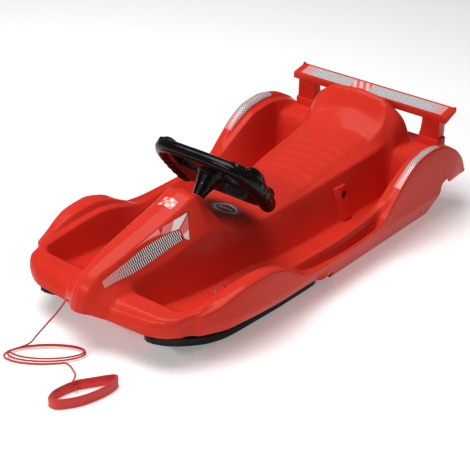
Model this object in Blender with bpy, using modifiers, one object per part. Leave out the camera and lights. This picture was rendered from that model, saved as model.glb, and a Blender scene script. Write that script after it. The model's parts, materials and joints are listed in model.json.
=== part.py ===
"""A steerable snow sled: one moulded shell on two front skis, a bolted rear wing and a pull cord.

The nose points along -Y, +X is the rider's left and the ground is z = 0. All lengths are metres.
"""

import math

import bmesh
import bpy
from mathutils import Matrix, Vector

# Driving dimensions of the whole sled
hull_length = 1.04
hull_width = 0.495
hull_height = 0.25
wall = 0.004
fit_gap = 0.0003
overrun = 0.01

# Where the rear runner begins, as a share of the length; the skis end in front of it
rear_runner_share = 0.01634615385
rear_runner_start = hull_length * rear_runner_share

# The rider's side of the steering: the axis leans back by this angle from upright
column_lean = math.radians(50)
wheel_centre_place_share = -0.1134615385
wheel_centre_height_share = 0.916
wheel_centre_y = hull_length * wheel_centre_place_share
wheel_centre_z = hull_height * wheel_centre_height_share
column_radius = 0.007
column_clearance = 0.0004
dash_depth = 0.062
dash_boss_radius = 0.024
dash_boss_length = 0.030

# Skis: each lies under the middle of its footwell, from behind the nose to the start of the rear runner
ski_middle_share = 0.3101010101
ski_middle = hull_width * ski_middle_share
ski_width = 0.107
ski_inner = ski_middle - ski_width / 2
ski_nose_inset = 0.050
ski_tip_run = 0.190
ski_runner_gap = 0.029
ski_front = ski_nose_inset - hull_length / 2
ski_rear = rear_runner_start - ski_runner_gap
ski_flat_front = ski_front + ski_tip_run
ski_tip_rise = 0.046
ski_thickness = 0.015
ski_corner = 0.022
keel_height = 0.003
keel_width = 0.008
keel_inset = 0.022
pivot_share = -0.2355769231
pivot_y = hull_length * pivot_share
pivot_radius = 0.005
pivot_boss_radius = 0.017
ski_pin_lead = 0.060
ski_pin_radius = 0.004

# Steering link, a flat plate that slides from side to side
link_thickness = 0.004
link_lift = 0.008
link_bar_lead = 0.055
link_bar_y = pivot_y - link_bar_lead
link_bar_width = 0.026
link_arm_step = 0.001
link_arm_inner = ski_inner - link_arm_step
link_arm_width = 0.018
link_foot_radius = 0.010
finger_radius = 0.0045
finger_ball_radius = 0.006
finger_play = 0.0006
link_play = 0.0020

# Rear wing
wing_half_length = 0.213
wing_front_share = 0.4346153846
wing_front = hull_length * wing_front_share
wing_chord = 0.044
stub_top_share = 0.664
stub_top = hull_height * stub_top_share
pillar_height = 0.044
wing_bottom = stub_top + pillar_height
wing_thickness = 0.015
wing_rise = 0.010
wing_tip_length = 0.014
wing_tip_rise = 0.004
pillar_inner_share = 0.3030303030
pillar_inner = hull_width * pillar_inner_share
pillar_width = 0.047
pillar_depth = 0.026
pillar_set_back = 0.0005
pillar_front = wing_front + pillar_set_back
stub_margin = 0.004
stub_flare = 0.016
spigot_depth = 0.012
wing_screw_radius = 0.0025

# Pull cord and hand strap
cord_radius = 0.0017
cord_play = 0.0005
strap_width = 0.022
strap_thickness = 0.0032

# Colours of the finished pieces: red, green, blue, roughness, metallic
red_plastic = ("red_plastic", (0.72, 0.03, 0.025), 0.22, 0.0)
black_plastic = ("black_plastic", (0.012, 0.012, 0.013), 0.30, 0.0)
zinc_steel = ("zinc_steel", (0.62, 0.62, 0.60), 0.32, 1.0)
red_cord = ("red_cord", (0.60, 0.05, 0.04), 0.75, 0.0)


def material(kind):
    name, colour, roughness, metallic = kind
    made = bpy.data.materials.get(name)
    if made is None:
        made = bpy.data.materials.new(name)
        made.use_nodes = True
        shader = made.node_tree.nodes["Principled BSDF"]
        shader.inputs["Base Color"].default_value = (*colour, 1.0)
        shader.inputs["Roughness"].default_value = roughness
        shader.inputs["Metallic"].default_value = metallic
    return made


def clear_scene():
    for old in list(bpy.data.objects):
        bpy.data.objects.remove(old, do_unlink=True)


def collection(name):
    made = bpy.data.collections.new(name)
    bpy.context.scene.collection.children.link(made)
    return made


def finish(mesh_maker, name, home, kind=None, place=None):
    """Turn a bmesh into a named object in a collection."""
    data = bpy.data.meshes.new(name)
    mesh_maker.to_mesh(data)
    mesh_maker.free()
    made = bpy.data.objects.new(name, data)
    home.objects.link(made)
    if place is not None:
        made.matrix_world = place
    if kind is not None:
        data.materials.append(material(kind))
        data.shade_smooth()
        data.set_sharp_from_angle(angle=math.radians(35))
    else:
        made.hide_render = True
        made.display_type = "WIRE"
    return made


def box(corner, size):
    """A box from its lowest corner and its size."""
    made = bmesh.new()
    bmesh.ops.create_cube(made, size=1.0)
    middle = Vector(corner) + Vector(size) / 2
    bmesh.ops.transform(made, matrix=Matrix.Translation(middle) @ Matrix.Diagonal((*size, 1.0)),
                        verts=made.verts)
    return made


def rod(base, tip, radius, sides=24, tip_radius=None):
    """A round rod or cone between two points."""
    base, tip = Vector(base), Vector(tip)
    made = bmesh.new()
    end_radius = radius if tip_radius is None else tip_radius
    turn = (tip - base).to_track_quat("Z", "Y").to_matrix().to_4x4()
    bmesh.ops.create_cone(made, cap_ends=True, segments=sides, radius1=radius, radius2=end_radius,
                          depth=(tip - base).length, matrix=Matrix.Translation((base + tip) / 2) @ turn)
    return made


def turned(profile, sides=20):
    """A closed solid turned round local Z from (radius, height) points, run from top to bottom."""
    made = bmesh.new()
    verts = [made.verts.new((radius, 0, height)) for radius, height in profile]
    edges = [made.edges.new(pair) for pair in zip(verts, verts[1:])]
    bmesh.ops.spin(made, geom=verts + edges, axis=(0, 0, 1), cent=(0, 0, 0), dvec=(0, 0, 0),
                   angle=math.tau, steps=sides, use_merge=True, use_duplicate=False)
    bmesh.ops.remove_doubles(made, verts=made.verts, dist=0.00001)
    bmesh.ops.recalc_face_normals(made, faces=made.faces)
    return made


def prism(outline, low, high, upright="Z"):
    """An outline in two coordinates, pushed along the third axis from low to high."""
    order = {"X": lambda u, v, w: (w, u, v), "Y": lambda u, v, w: (u, w, v), "Z": lambda u, v,
             w: (u, v, w)}[upright]
    made = bmesh.new()
    face = made.faces.new([made.verts.new(order(u, v, low)) for u, v in outline])
    pushed = bmesh.ops.extrude_face_region(made, geom=[face])
    moved = [item for item in pushed["geom"] if isinstance(item, bmesh.types.BMVert)]
    bmesh.ops.translate(made, verts=moved, vec=Vector(order(0, 0, high - low)))
    bmesh.ops.recalc_face_normals(made, faces=made.faces)
    return made


def rounded(outline, radius, steps=4):
    """The same closed outline with its corners rounded; one radius, or one for each corner."""
    radii = radius if isinstance(radius, (list, tuple)) else [radius] * len(outline)
    points = []
    for index, here in enumerate(outline):
        here = Vector(here)
        back = Vector(outline[index - 1]) - here
        ahead = Vector(outline[(index + 1) % len(outline)]) - here
        reach = min(radii[index], back.length / 2.05, ahead.length / 2.05)
        if reach <= 0:
            points.append(tuple(here))
            continue
        start, end = here + back.normalized() * reach, here + ahead.normalized() * reach
        for step in range(steps + 1):
            share = step / steps
            bend = start * (1 - share) ** 2 + here * 2 * share * (1 - share) + end * share ** 2
            points.append(tuple(bend))
    return points


def boolean(target, tool, operation, solver="EXACT"):
    change = target.modifiers.new(operation.lower() + "_" + tool.name, "BOOLEAN")
    change.solver = solver
    change.operation = operation
    change.object = tool
    return change


def join(target, *tools, solver="EXACT"):
    for tool in tools:
        boolean(target, tool, "UNION", solver)


def cut(target, *tools, solver="EXACT"):
    for tool in tools:
        boolean(target, tool, "DIFFERENCE", solver)


def share_at(table, place):
    """Read a table of (place, value) shares on a smooth curve that never overshoots its points."""
    places = [row[0] for row in table]
    values = [row[1] for row in table]
    if place <= places[0]:
        return values[0]
    if place >= places[-1]:
        return values[-1]
    slopes = [(b - a) / (q - p) for p, q, a, b in zip(places, places[1:], values, values[1:])]
    tangents = [slopes[0]]
    for before, after in zip(slopes, slopes[1:]):
        tangents.append(0 if before * after <= 0 else 2 * before * after / (before + after))
    tangents.append(slopes[-1])
    index = next(i for i in range(len(slopes)) if place <= places[i + 1])
    span = places[index + 1] - places[index]
    t = (place - places[index]) / span
    return (values[index] * (1 + 2 * t) * (1 - t) ** 2 + tangents[index] * span * t * (1 - t) ** 2
            + values[index + 1] * t * t * (3 - 2 * t) + tangents[index + 1] * span * t * t * (t - 1))


# Lines plan of the hull. Places run along the length from -0.5 at the nose to 0.5 at the tail,
# heights are shares of the hull's height and widths are shares of its half width.
spine_height_shares = (
    (-0.442, 0.630), (-0.385, 0.704), (-0.317, 0.775), (-0.250, 0.850), (-0.205, 0.905), (-0.198, 0.893),
    (-0.190, 0.850), (-0.162, 0.712), (-0.137, 0.587), (-0.130, 0.557), (-0.120, 0.545), (-0.096, 0.538),
    (0.000, 0.520), (0.087, 0.522), (0.164, 0.568), (0.238, 0.616), (0.288, 0.652), (0.322, 0.690),
    (0.346, 0.750), (0.361, 0.800), (0.373, 0.856), (0.385, 0.930), (0.392, 0.980), (0.399, 1.000),
    (0.408, 0.990), (0.414, 0.970), (0.419, 0.800), (0.424, 0.600), (0.432, 0.592), (0.471, 0.584))
bonnet_width_shares = (
    (-0.442, 0.080), (-0.385, 0.112), (-0.250, 0.125), (-0.192, 0.130), (-0.133, 0.165), (0.000, 0.220),
    (0.096, 0.240), (0.238, 0.262), (0.300, 0.275), (0.322, 0.305), (0.346, 0.365), (0.361, 0.380),
    (0.373, 0.365), (0.385, 0.335), (0.392, 0.310), (0.399, 0.288), (0.414, 0.270), (0.432, 0.320))
bonnet_drop_shares = (
    (-0.442, 0.026), (-0.250, 0.034), (-0.192, 0.028), (-0.133, 0.010), (0.087, 0.008), (0.300, 0.012),
    (0.346, 0.022), (0.373, 0.016), (0.385, 0.018), (0.399, 0.024), (0.414, 0.034), (0.419, 0.030),
    (0.424, 0.004), (0.432, 0.000))
shoulder_width_shares = (
    (-0.442, 0.150), (-0.420, 0.174), (-0.387, 0.220), (-0.350, 0.250), (-0.285, 0.279), (-0.216, 0.290),
    (-0.165, 0.294), (-0.125, 0.300), (-0.096, 0.310), (-0.060, 0.322), (0.000, 0.330), (0.117, 0.345),
    (0.164, 0.368), (0.238, 0.398), (0.322, 0.432), (0.346, 0.448), (0.373, 0.472), (0.385, 0.476),
    (0.399, 0.488), (0.414, 0.500), (0.432, 0.540))
shoulder_height_shares = (
    (-0.442, 0.500), (-0.400, 0.502), (-0.350, 0.524), (-0.285, 0.576), (-0.216, 0.606), (-0.180, 0.596),
    (-0.140, 0.505), (-0.096, 0.482), (0.000, 0.484), (0.117, 0.502), (0.164, 0.528), (0.238, 0.564),
    (0.322, 0.604), (0.346, 0.632), (0.361, 0.670), (0.373, 0.720), (0.385, 0.780), (0.399, 0.820),
    (0.414, 0.800), (0.419, 0.690), (0.424, 0.592), (0.471, 0.584))
wall_foot_width_shares = (
    (-0.442, 0.240), (-0.405, 0.256), (-0.385, 0.300), (-0.350, 0.346), (-0.288, 0.390), (-0.125, 0.410),
    (-0.105, 0.420), (-0.060, 0.466), (0.000, 0.490), (0.096, 0.502), (0.322, 0.515), (0.385, 0.512),
    (0.414, 0.545), (0.432, 0.565))
floor_height_shares = (
    (-0.442, 0.430), (-0.416, 0.430), (-0.408, 0.424), (-0.402, 0.395), (-0.385, 0.262), (-0.376, 0.245),
    (-0.308, 0.218), (-0.144, 0.180), (0.000, 0.160), (0.096, 0.154), (0.317, 0.154), (0.341, 0.162),
    (0.349, 0.200), (0.361, 0.530), (0.367, 0.578), (0.380, 0.588), (0.394, 0.592), (0.471, 0.584))
rail_foot_width_shares = (
    (-0.442, 0.640), (-0.400, 0.690), (-0.370, 0.705), (-0.192, 0.705), (-0.096, 0.665), (0.000, 0.630),
    (0.096, 0.640), (0.192, 0.680), (0.288, 0.730), (0.378, 0.790), (0.471, 0.790))
ridge_width_shares = (
    (-0.442, 0.715), (-0.385, 0.768), (-0.192, 0.788), (-0.115, 0.808), (-0.048, 0.828), (0.048, 0.846),
    (0.144, 0.848), (0.337, 0.832), (0.500, 0.846))
ridge_height_shares = (
    (-0.442, 0.430), (-0.385, 0.440), (-0.337, 0.455), (-0.288, 0.475), (-0.240, 0.480), (-0.192, 0.450),
    (-0.144, 0.385), (-0.096, 0.345), (0.000, 0.352), (0.096, 0.372), (0.154, 0.400), (0.192, 0.470),
    (0.240, 0.590), (0.288, 0.680), (0.337, 0.705), (0.385, 0.680), (0.433, 0.610), (0.471, 0.500),
    (0.486, 0.420), (0.496, 0.330))
crease_width_shares = (
    (-0.442, 0.806), (-0.420, 0.842), (-0.394, 0.880), (-0.346, 0.940), (-0.288, 0.985), (-0.212, 1.000),
    (0.433, 1.000), (0.500, 0.972))
crease_height_shares = (
    (-0.442, 0.412), (-0.394, 0.430), (-0.361, 0.450), (-0.327, 0.500), (-0.288, 0.540), (-0.240, 0.550),
    (-0.192, 0.505), (-0.144, 0.390), (-0.106, 0.315), (-0.048, 0.294), (0.048, 0.298), (0.125, 0.314),
    (0.159, 0.355), (0.192, 0.470), (0.240, 0.640), (0.288, 0.735), (0.337, 0.755), (0.385, 0.722),
    (0.433, 0.630), (0.471, 0.500), (0.486, 0.420), (0.496, 0.330))
groove_depth_shares = (
    (-0.110, 0.000), (-0.087, 0.028), (0.000, 0.048), (0.144, 0.080), (0.163, 0.010), (0.170, 0.000))
wall_bend_height_shares = (
    (-0.442, 0.330), (-0.385, 0.310), (-0.288, 0.280), (-0.144, 0.250), (0.400, 0.250), (0.433, 0.330),
    (0.486, 0.330), (0.496, 0.318))
edge_width_shares = (
    (-0.442, 0.780), (-0.385, 0.845), (-0.317, 0.900), (-0.192, 0.905), (-0.030, 0.880), (0.010, 0.858),
    (0.395, 0.858), (0.433, 0.950), (0.500, 0.962))
edge_height_shares = (
    (-0.442, 0.264), (-0.385, 0.232), (-0.317, 0.188), (-0.192, 0.136), (-0.040, 0.092), (-0.018, 0.000),
    (0.395, 0.000), (0.433, 0.240), (0.500, 0.300))
station_shares = (
    -0.442, -0.424, -0.408, -0.401, -0.385, -0.350, -0.317, -0.285, -0.250, -0.216, -0.198, -0.190, -0.162,
    -0.137, -0.122, -0.100, -0.060, -0.018, 0.038, 0.087, 0.140, 0.163, 0.192, 0.226, 0.260, 0.292, 0.322,
    0.341, 0.350, 0.361, 0.373, 0.385, 0.399, 0.412, 0.419, 0.425, 0.433, 0.452, 0.471)
tail_station_shares = (0.488, 0.500)
deck_end_share = 0.471
lip_drop_shares = (0.030, 0.130)

# Plan and height of the front lower edge, as shares of the half width, length and height
front_reach_shares = (
    (0.000, 0.500), (0.070, 0.496), (0.150, 0.476), (0.260, 0.470), (0.540, 0.464), (0.640, 0.456),
    (0.700, 0.447), (0.750, 0.435), (0.790, 0.418))
front_height_shares = ((0.000, 0.330), (0.080, 0.326), (0.160, 0.296), (0.300, 0.282), (0.820, 0.276))
front_width_shares = (
    0.0, 0.058, 0.105, 0.220, 0.560, 0.640, 0.668, 0.692, 0.712, 0.732, 0.752, 0.772, 0.700)
front_roll_share = 0.85

# How far the front stations bend back towards the corners of the bumper, as shares of the length
corner_sweep_shares = ((0.600, 0.000), (0.700, 0.006), (0.780, 0.020), (0.830, 0.032))
sweep_end_share = -0.380
front_roll_steps = 4

# Largest half rounding across the hull at each of its thirteen lines, as shares of its height, and how many
# points each one takes
corner_radius_shares = (
    0.0, 0.120, 0.112, 0.024, 0.040, 0.016, 0.012, 0.012, 0.012, 0.020, 0.032, 0.0, 0.0)
corner_points = (1, 3, 3, 1, 2, 1, 1, 1, 1, 2, 1, 1, 1)

# Share of the largest rounding that the bonnet's line and the shoulder keep along the length
bonnet_round_shares = (
    (-0.442, 0.17), (-0.220, 0.17), (-0.120, 0.33), (0.050, 0.67), (0.300, 0.73), (0.330, 0.33),
    (0.373, 0.27),
    (0.392, 0.47), (0.414, 1.00), (0.432, 0.20))
shoulder_round_shares = (
    (-0.442, 0.21), (-0.400, 0.15), (0.325, 0.22), (0.361, 0.43), (0.385, 0.72), (0.414, 1.00),
    (0.432, 0.22))
flange_width = 0.018
ridge_band = 0.013
groove_run = 0.006
fender_crown = 0.006

half_width = hull_width / 2


def hull_corners(place):
    """The thirteen corner points of the half section at one place along the length."""
    def width(table):
        return half_width * share_at(table, place)

    def height(table):
        return hull_height * share_at(table, place)

    spine = height(spine_height_shares)
    floor = height(floor_height_shares)
    foot = width(wall_foot_width_shares)
    rail_foot = width(rail_foot_width_shares)
    ridge = width(ridge_width_shares)
    crest = height(ridge_height_shares)
    crease = width(crease_width_shares)
    crease_top = height(crease_height_shares)
    groove = height(groove_depth_shares)
    band_top = min(crest, crease_top)
    fender = max(0.0, min(1.0, (crease_top - crest) / fender_crown + 1)) if groove == 0 else 0.0
    crown = fender * fender_crown
    edge = width(edge_width_shares)
    edge_top = height(edge_height_shares)
    groove_foot = min(crest, band_top) - groove if groove else (crest + crease_top) / 2 + crown
    band_inner = crease - groove_run if groove else crease - groove_run * 2
    return [
        (0.0, spine),
        (width(bonnet_width_shares), spine - height(bonnet_drop_shares)),
        (width(shoulder_width_shares), height(shoulder_height_shares)),
        (foot, floor),
        (rail_foot, floor),
        (ridge, crest),
        (ridge + ridge_band, crest + crown / 2),
        (ridge + ridge_band + groove_run, groove_foot),
        (max(band_inner, ridge + ridge_band + groove_run * 1.5), crease_top + crown / 2),
        (crease, crease_top),
        (max(crease - wall, edge), height(wall_bend_height_shares)),
        (edge, edge_top),
        (edge - flange_width, edge_top),
    ]


def corner_reach(index, place):
    """How far a corner's rounding reaches along both runs that meet in it."""
    line_tables = {1: bonnet_round_shares, 2: shoulder_round_shares}
    radius = hull_height * corner_radius_shares[index]
    if index in line_tables:
        return radius * share_at(line_tables[index], place)
    return radius


def station_y(x, place):
    """A station's place along the sled; the front ones bend back towards the corners of the bumper."""
    first = station_shares[0]
    run = max(0.0, min(1.0, (place - first) / (sweep_end_share - first)))
    fade = 1 - run * run * (3 - 2 * run)
    return hull_length * (place + fade * share_at(corner_sweep_shares, x / half_width))


def rounded_row(corners, place):
    """Round the corners of an open row of points in space, always into the same number of points."""
    row = []
    for index, here in enumerate(corners):
        count = corner_points[index]
        here = Vector(here)
        if count == 1:
            row.append(here)
            continue
        back = Vector(corners[index - 1]) - here
        ahead = Vector(corners[index + 1]) - here
        reach = corner_reach(index, place)
        start = here + back.normalized() * min(reach, back.length * 0.45)
        end = here + ahead.normalized() * min(reach, ahead.length * 0.45)
        for step in range(count):
            share = step / (count - 1)
            row.append(start * (1 - share) ** 2 + here * 2 * share * (1 - share) + end * share ** 2)
    return row


def hull_rows():
    """Rows of points across the half hull, from the front lower edge to the tail."""
    rows = []
    first = station_shares[0]
    for step in range(front_roll_steps, 0, -1):
        angle = math.pi / 2 * step / front_roll_steps
        drop = (1 - math.cos(angle)) ** front_roll_share
        row = []
        for (x, z), share in zip(hull_corners(first), front_width_shares):
            end_x = share * half_width
            end_z = hull_height * share_at(front_height_shares, share)
            start_y = station_y(x, first)
            end_y = -hull_length * share_at(front_reach_shares, share)
            y = start_y + (end_y - start_y) * math.sin(angle)
            row.append((x + (end_x - x) * drop, y, z + (end_z - z) * drop))
        rows.append(rounded_row(row, first))
    for place in station_shares:
        rows.append(rounded_row([(x, station_y(x, place), z) for x, z in hull_corners(place)], place))
    for place, drop in zip(tail_station_shares, lip_drop_shares):
        tail = hull_corners(place)
        deck = hull_corners(deck_end_share)
        row = []
        for index, (x, z) in enumerate(tail):
            if index <= 4:
                x, z = deck[index][0], deck[index][1] - drop * hull_height
                row.append((x, (deck_end_share + drop / 10) * hull_length, z))
            else:
                row.append((x, place * hull_length, z))
        rows.append(rounded_row(row, place))
    return rows


def hull_surface():
    """The open half surface of the hull."""
    made = bmesh.new()
    grid = [[made.verts.new(point) for point in row] for row in hull_rows()]
    for near, far in zip(grid, grid[1:]):
        for index in range(len(near) - 1):
            made.faces.new((near[index], near[index + 1], far[index + 1], far[index]))
    return made


def floor_at(y):
    return hull_height * share_at(floor_height_shares, y / hull_length)


def axis_point(depth, side=0.0, down=0.0):
    """A point on the steering axis at a depth below the wheel's centre, moved sideways and down."""
    along = Vector((0, math.sin(column_lean), math.cos(column_lean)))
    low = Vector((0, math.cos(column_lean), -math.sin(column_lean)))
    return Vector((side, wheel_centre_y, wheel_centre_z)) - along * depth + low * down


def mirrored(point):
    return (-point[0], point[1], point[2])


def side_name(side):
    return "left" if side > 0 else "right"


ski_top = keel_height + ski_thickness


def build_hull(parts, cutters):
    """The moulded shell with its bosses, stubs, holes and trimmed edges."""
    hull = finish(hull_surface(), "hull", parts, red_plastic)
    mirror = hull.modifiers.new("mirror", "MIRROR")
    mirror.merge_threshold = 0.0001
    shell = hull.modifiers.new("shell", "SOLIDIFY")
    shell.thickness = wall
    shell.offset = -1

    # The thin curved sheet leaves slivers in the exact solver, so the solver for closed meshes is used here
    join(hull, dash_boss(cutters), solver="MANIFOLD")
    for side in (1, -1):
        join(hull, pivot_boss(side, cutters), bracket_pad(side, cutters), wing_stub(side, cutters),
             stub_flare_form(side, cutters), brake_boss(side, cutters), solver="MANIFOLD")
        cut(hull, pivot_bore(side, cutters), wing_socket(side, cutters), wing_screw_hole(side, cutters),
            brake_hole(side, cutters), solver="MANIFOLD")
        for row in (0, 1):
            cut(hull, bracket_screw_hole(side, row, cutters), solver="MANIFOLD")
    cut(hull, bearing_bore(cutters), tail_cut(cutters), front_edge_cut(cutters), cord_hole(cutters),
        solver="MANIFOLD")
    return hull


# Bosses and holes of the hull
bearing_radius = 0.0105
bearing_flange_radius = 0.0135
bearing_flange = 0.002
bearing_length = 0.026
pivot_boss_rise = 0.004
pad_inner_share = 0.2101010101
pad_inner = hull_width * pad_inner_share
pad_width = 0.034
pad_front = pivot_y - pivot_boss_radius
pad_length = 0.050
pad_rise = 0.0015
pad_depth = 0.010
bracket_screw_radius = 0.002
brake_boss_share = 0.1951923077
brake_boss_place = hull_length * brake_boss_share
brake_boss_radius = 0.017
brake_hole_radius = 0.0085
brake_hole_share = 0.392
brake_hole_height = hull_height * brake_hole_share

# Notches in the lower edge of the hull, as shares of its length and height
tail_cut_place_shares = (0.3894230769, 0.4288461538)
tail_cut_height_shares = (0.36, 0.304)
front_edge_share = 0.08
tail_cut_start = hull_length * tail_cut_place_shares[0]
tail_lip_start = hull_length * tail_cut_place_shares[1]
tail_cut_top = hull_height * tail_cut_height_shares[0]
tail_lip_bottom = hull_height * tail_cut_height_shares[1]
front_edge_height = hull_height * front_edge_share
cord_hole_x = -0.047
cord_hole_z = 0.079


def pivot_boss_top():
    return floor_at(pivot_y) + pivot_boss_rise


def dash_boss(home):
    made = rod(axis_point(dash_depth + dash_boss_length), axis_point(dash_depth), dash_boss_radius, 28)
    return finish(made, "dash_boss_form", home)


def bearing_bore(home):
    made = rod(axis_point(dash_depth + dash_boss_length + overrun), axis_point(dash_depth - overrun),
               bearing_radius + fit_gap, 24)
    return finish(made, "bearing_bore_form", home)


def pivot_boss(side, home):
    x = side * ski_middle
    made = rod((x, pivot_y, ski_top + fit_gap), (x, pivot_y, pivot_boss_top()), pivot_boss_radius, 24)
    return finish(made, f"pivot_boss_form_{side_name(side)}", home)


def pivot_bore(side, home):
    x = side * ski_middle
    made = rod((x, pivot_y, 0), (x, pivot_y, pivot_boss_top() + overrun), pivot_radius + fit_gap, 20)
    return finish(made, f"pivot_bore_form_{side_name(side)}", home)


def pad_top():
    return floor_at(pad_front) + pad_rise


def bracket_pad(side, home):
    x = pad_inner if side > 0 else -pad_inner - pad_width
    made = box((x, pad_front, pad_top() - pad_depth), (pad_width, pad_length, pad_depth))
    return finish(made, f"bracket_pad_form_{side_name(side)}", home)


def bracket_screw_place(side, row):
    x = side * (pad_inner + pad_width / 2)
    y = pad_front + pad_length * (1 + 2 * row) / 4
    return x, y


def bracket_screw_hole(side, row, home):
    x, y = bracket_screw_place(side, row)
    made = rod((x, y, pad_top() - pad_depth - overrun), (x, y, pad_top() + overrun),
               bracket_screw_radius + fit_gap, 12)
    return finish(made, f"bracket_screw_hole_form_{side_name(side)}_{row}", home)


def pillar_outline(margin):
    """The pillar's footprint grown by a margin, on the rider's left."""
    low_x, low_y = pillar_inner - margin, pillar_front - margin
    high_x, high_y = pillar_inner + pillar_width + margin, pillar_front + pillar_depth + margin
    return [(low_x, low_y), (high_x, low_y), (high_x, high_y), (low_x, high_y)]


def sided(outline, side):
    return [(side * x, y) for x, y in outline]


def wing_stub(side, home):
    bottom = hull_height * share_at(floor_height_shares, deck_end_share) - wall * 1.5
    outline = rounded(pillar_outline(stub_margin), stub_margin)
    return finish(prism(sided(outline, side), bottom, stub_top), f"wing_stub_form_{side_name(side)}", home)


def stub_flare_form(side, home):
    """The curved inner foot of a stub, where it runs out into the deck."""
    deck = hull_height * share_at(floor_height_shares, deck_end_share)
    inner = pillar_inner - stub_margin
    high = stub_top - fit_gap
    steps = 5
    outline = [(inner + wall, high)]
    for step in range(steps + 1):
        angle = math.pi / 2 * step / steps
        outline.append((inner - stub_flare * (1 - math.cos(angle)), high - (high - deck) * math.sin(angle)))
    outline += [(inner - stub_flare, deck - wall / 2), (inner + wall, deck - wall / 2)]
    rear = pillar_front + pillar_depth
    return finish(prism([(side * x, z) for x, z in outline], pillar_front, rear, "Y"),
                  f"stub_flare_form_{side_name(side)}", home)


def wing_socket(side, home):
    outline = pillar_outline(fit_gap - wall / 2)
    return finish(prism(sided(outline, side), stub_top - spigot_depth - overrun * 2, stub_top + overrun),
                  f"wing_socket_form_{side_name(side)}", home)


def wing_screw_hole(side, home):
    x = side * (pillar_inner + pillar_width / 2)
    z = stub_top - spigot_depth / 2
    rear = pillar_front + pillar_depth + stub_margin
    made = rod((x, rear - overrun, z), (x, rear + overrun, z), wing_screw_radius + fit_gap, 12)
    return finish(made, f"wing_screw_hole_form_{side_name(side)}", home)


def brake_boss(side, home):
    """The half round upright boss on the side of the seat, with its unused lever hole."""
    foot = half_width * share_at(wall_foot_width_shares, brake_boss_place / hull_length)
    shoulder = half_width * share_at(shoulder_width_shares, brake_boss_place / hull_length)
    floor = floor_at(brake_boss_place)
    shoulder_height = hull_height * share_at(shoulder_height_shares, brake_boss_place / hull_length)
    high = brake_hole_height + brake_boss_radius
    wall_x = shoulder + (foot - shoulder) * (shoulder_height - high) / (shoulder_height - floor)
    base = (side * (foot - brake_boss_radius * 0.5), brake_boss_place, floor - wall / 2)
    tip = (side * (wall_x - brake_boss_radius * 0.5), brake_boss_place, high)
    return finish(rod(base, tip, brake_boss_radius, 20), f"brake_boss_form_{side_name(side)}", home)


def brake_hole(side, home):
    made = rod((side * wall, brake_boss_place, brake_hole_height),
               (side * half_width / 1.5, brake_boss_place,
                                                                     brake_hole_height), brake_hole_radius,
                                                                     20)
    return finish(made, f"brake_hole_form_{side_name(side)}", home)


def tail_cut(home):
    """The notch behind the side wall, under the tails of the rear fenders."""
    far = hull_length / 2 + overrun
    outline = [(tail_cut_start, -overrun), (far, -overrun), (far, tail_lip_bottom),
               (tail_lip_start, tail_lip_bottom),
               (tail_lip_start - wall, tail_cut_top), (tail_cut_start + wall * 2, tail_cut_top)]
    outline = rounded(outline, [0, 0, 0, wall, wall, wall * 3])
    return finish(prism(outline, -half_width - overrun, half_width + overrun, "X"), "tail_cut_form", home)


def front_edge_cut(home):
    """The step in the lower edge where the rear runner begins."""
    start = rear_runner_start - hull_length / 10
    outline = [(start, -overrun), (rear_runner_start + wall, -overrun),
               (rear_runner_start, front_edge_height),
               (start, front_edge_height)]
    return finish(prism(outline, -half_width - overrun, half_width + overrun, "X"), "front_edge_cut_form",
                  home)


def cord_hole(home):
    start = (cord_hole_x, -hull_length / 2 - overrun, cord_hole_z)
    end = (cord_hole_x, -hull_length / 2 + overrun * 8, cord_hole_z)
    return finish(rod(start, end, cord_radius + cord_play, 12), "cord_hole_form", home)


# Steering wheel, in its own plane: X across, Y down the wheel, Z towards the rider
wheel_half_width = 0.119
wheel_half_height = 0.0865
grip_radius = 0.0185
ring_shares = (
    (0.000, -1.000), (0.220, -1.000), (0.440, -0.985), (0.640, -0.930), (0.800, -0.800), (0.900, -0.600),
    (0.950, -0.370), (0.975, -0.130), (0.985, 0.110), (0.975, 0.350), (0.950, 0.590), (0.915, 0.810),
    (0.880, 0.960), (0.865, 1.020))
ring_radius_shares = (
    0.80, 0.80, 0.81, 0.84, 0.88, 0.90, 0.95, 1.00, 1.00, 0.93, 0.97, 1.00, 0.86, 0.55)
plate_thickness = 0.022
plate_edge = 0.003
spoke_width = 0.042
window_top = -0.050
window_bottom = 0.004
window_half_width = 0.092
plate_half_width = 0.100
plate_bottom = 0.078
plate_corner = 0.012
hub_radius = 0.027
cone_tip_radius = 0.0125
palm_x = 0.110
palm_y = -0.018
palm_z = 0.012
palm_half_width = 0.018
palm_half_length = 0.036
palm_half_depth = 0.017
palm_size = (palm_half_width, palm_half_length, palm_half_depth)
stop_y = 0.048
stop_z = 0.012
stop_half_width = 0.016
stop_half_length = 0.017
stop_half_depth = 0.015
stop_size = (stop_half_width, stop_half_length, stop_half_depth)
nut_flats = 0.013
nut_height = 0.0065
nut_recess_radius = 0.0115
cap_radius = 0.021
cap_rise = 0.005
cap_rim = 0.0015
cap_plug = 0.0018
column_top = 0.0085
column_thread_radius = 0.004
clamp_thickness = 0.004

# Foot of the steering column
tab_width = 0.036
bracket_thickness = 0.003
crank_hub_radius = 0.011
crank_hub_half = 0.008
crank_screw_radius = 0.0025
crank_screw_length = 0.012
crank_head_radius = 0.008
crank_head_height = 0.004

# Plan of a ski from its outer edge round the tip, as shares of its width and length
ski_tip_shares = (
    (0.985, 0.30), (0.940, 0.50), (0.900, 0.66), (0.840, 0.76), (0.750, 0.84), (0.660, 0.91), (0.560, 0.965),
    (0.450, 0.995), (0.330, 1.000), (0.210, 0.985), (0.110, 0.945), (0.040, 0.885), (0.000, 0.800))

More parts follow.
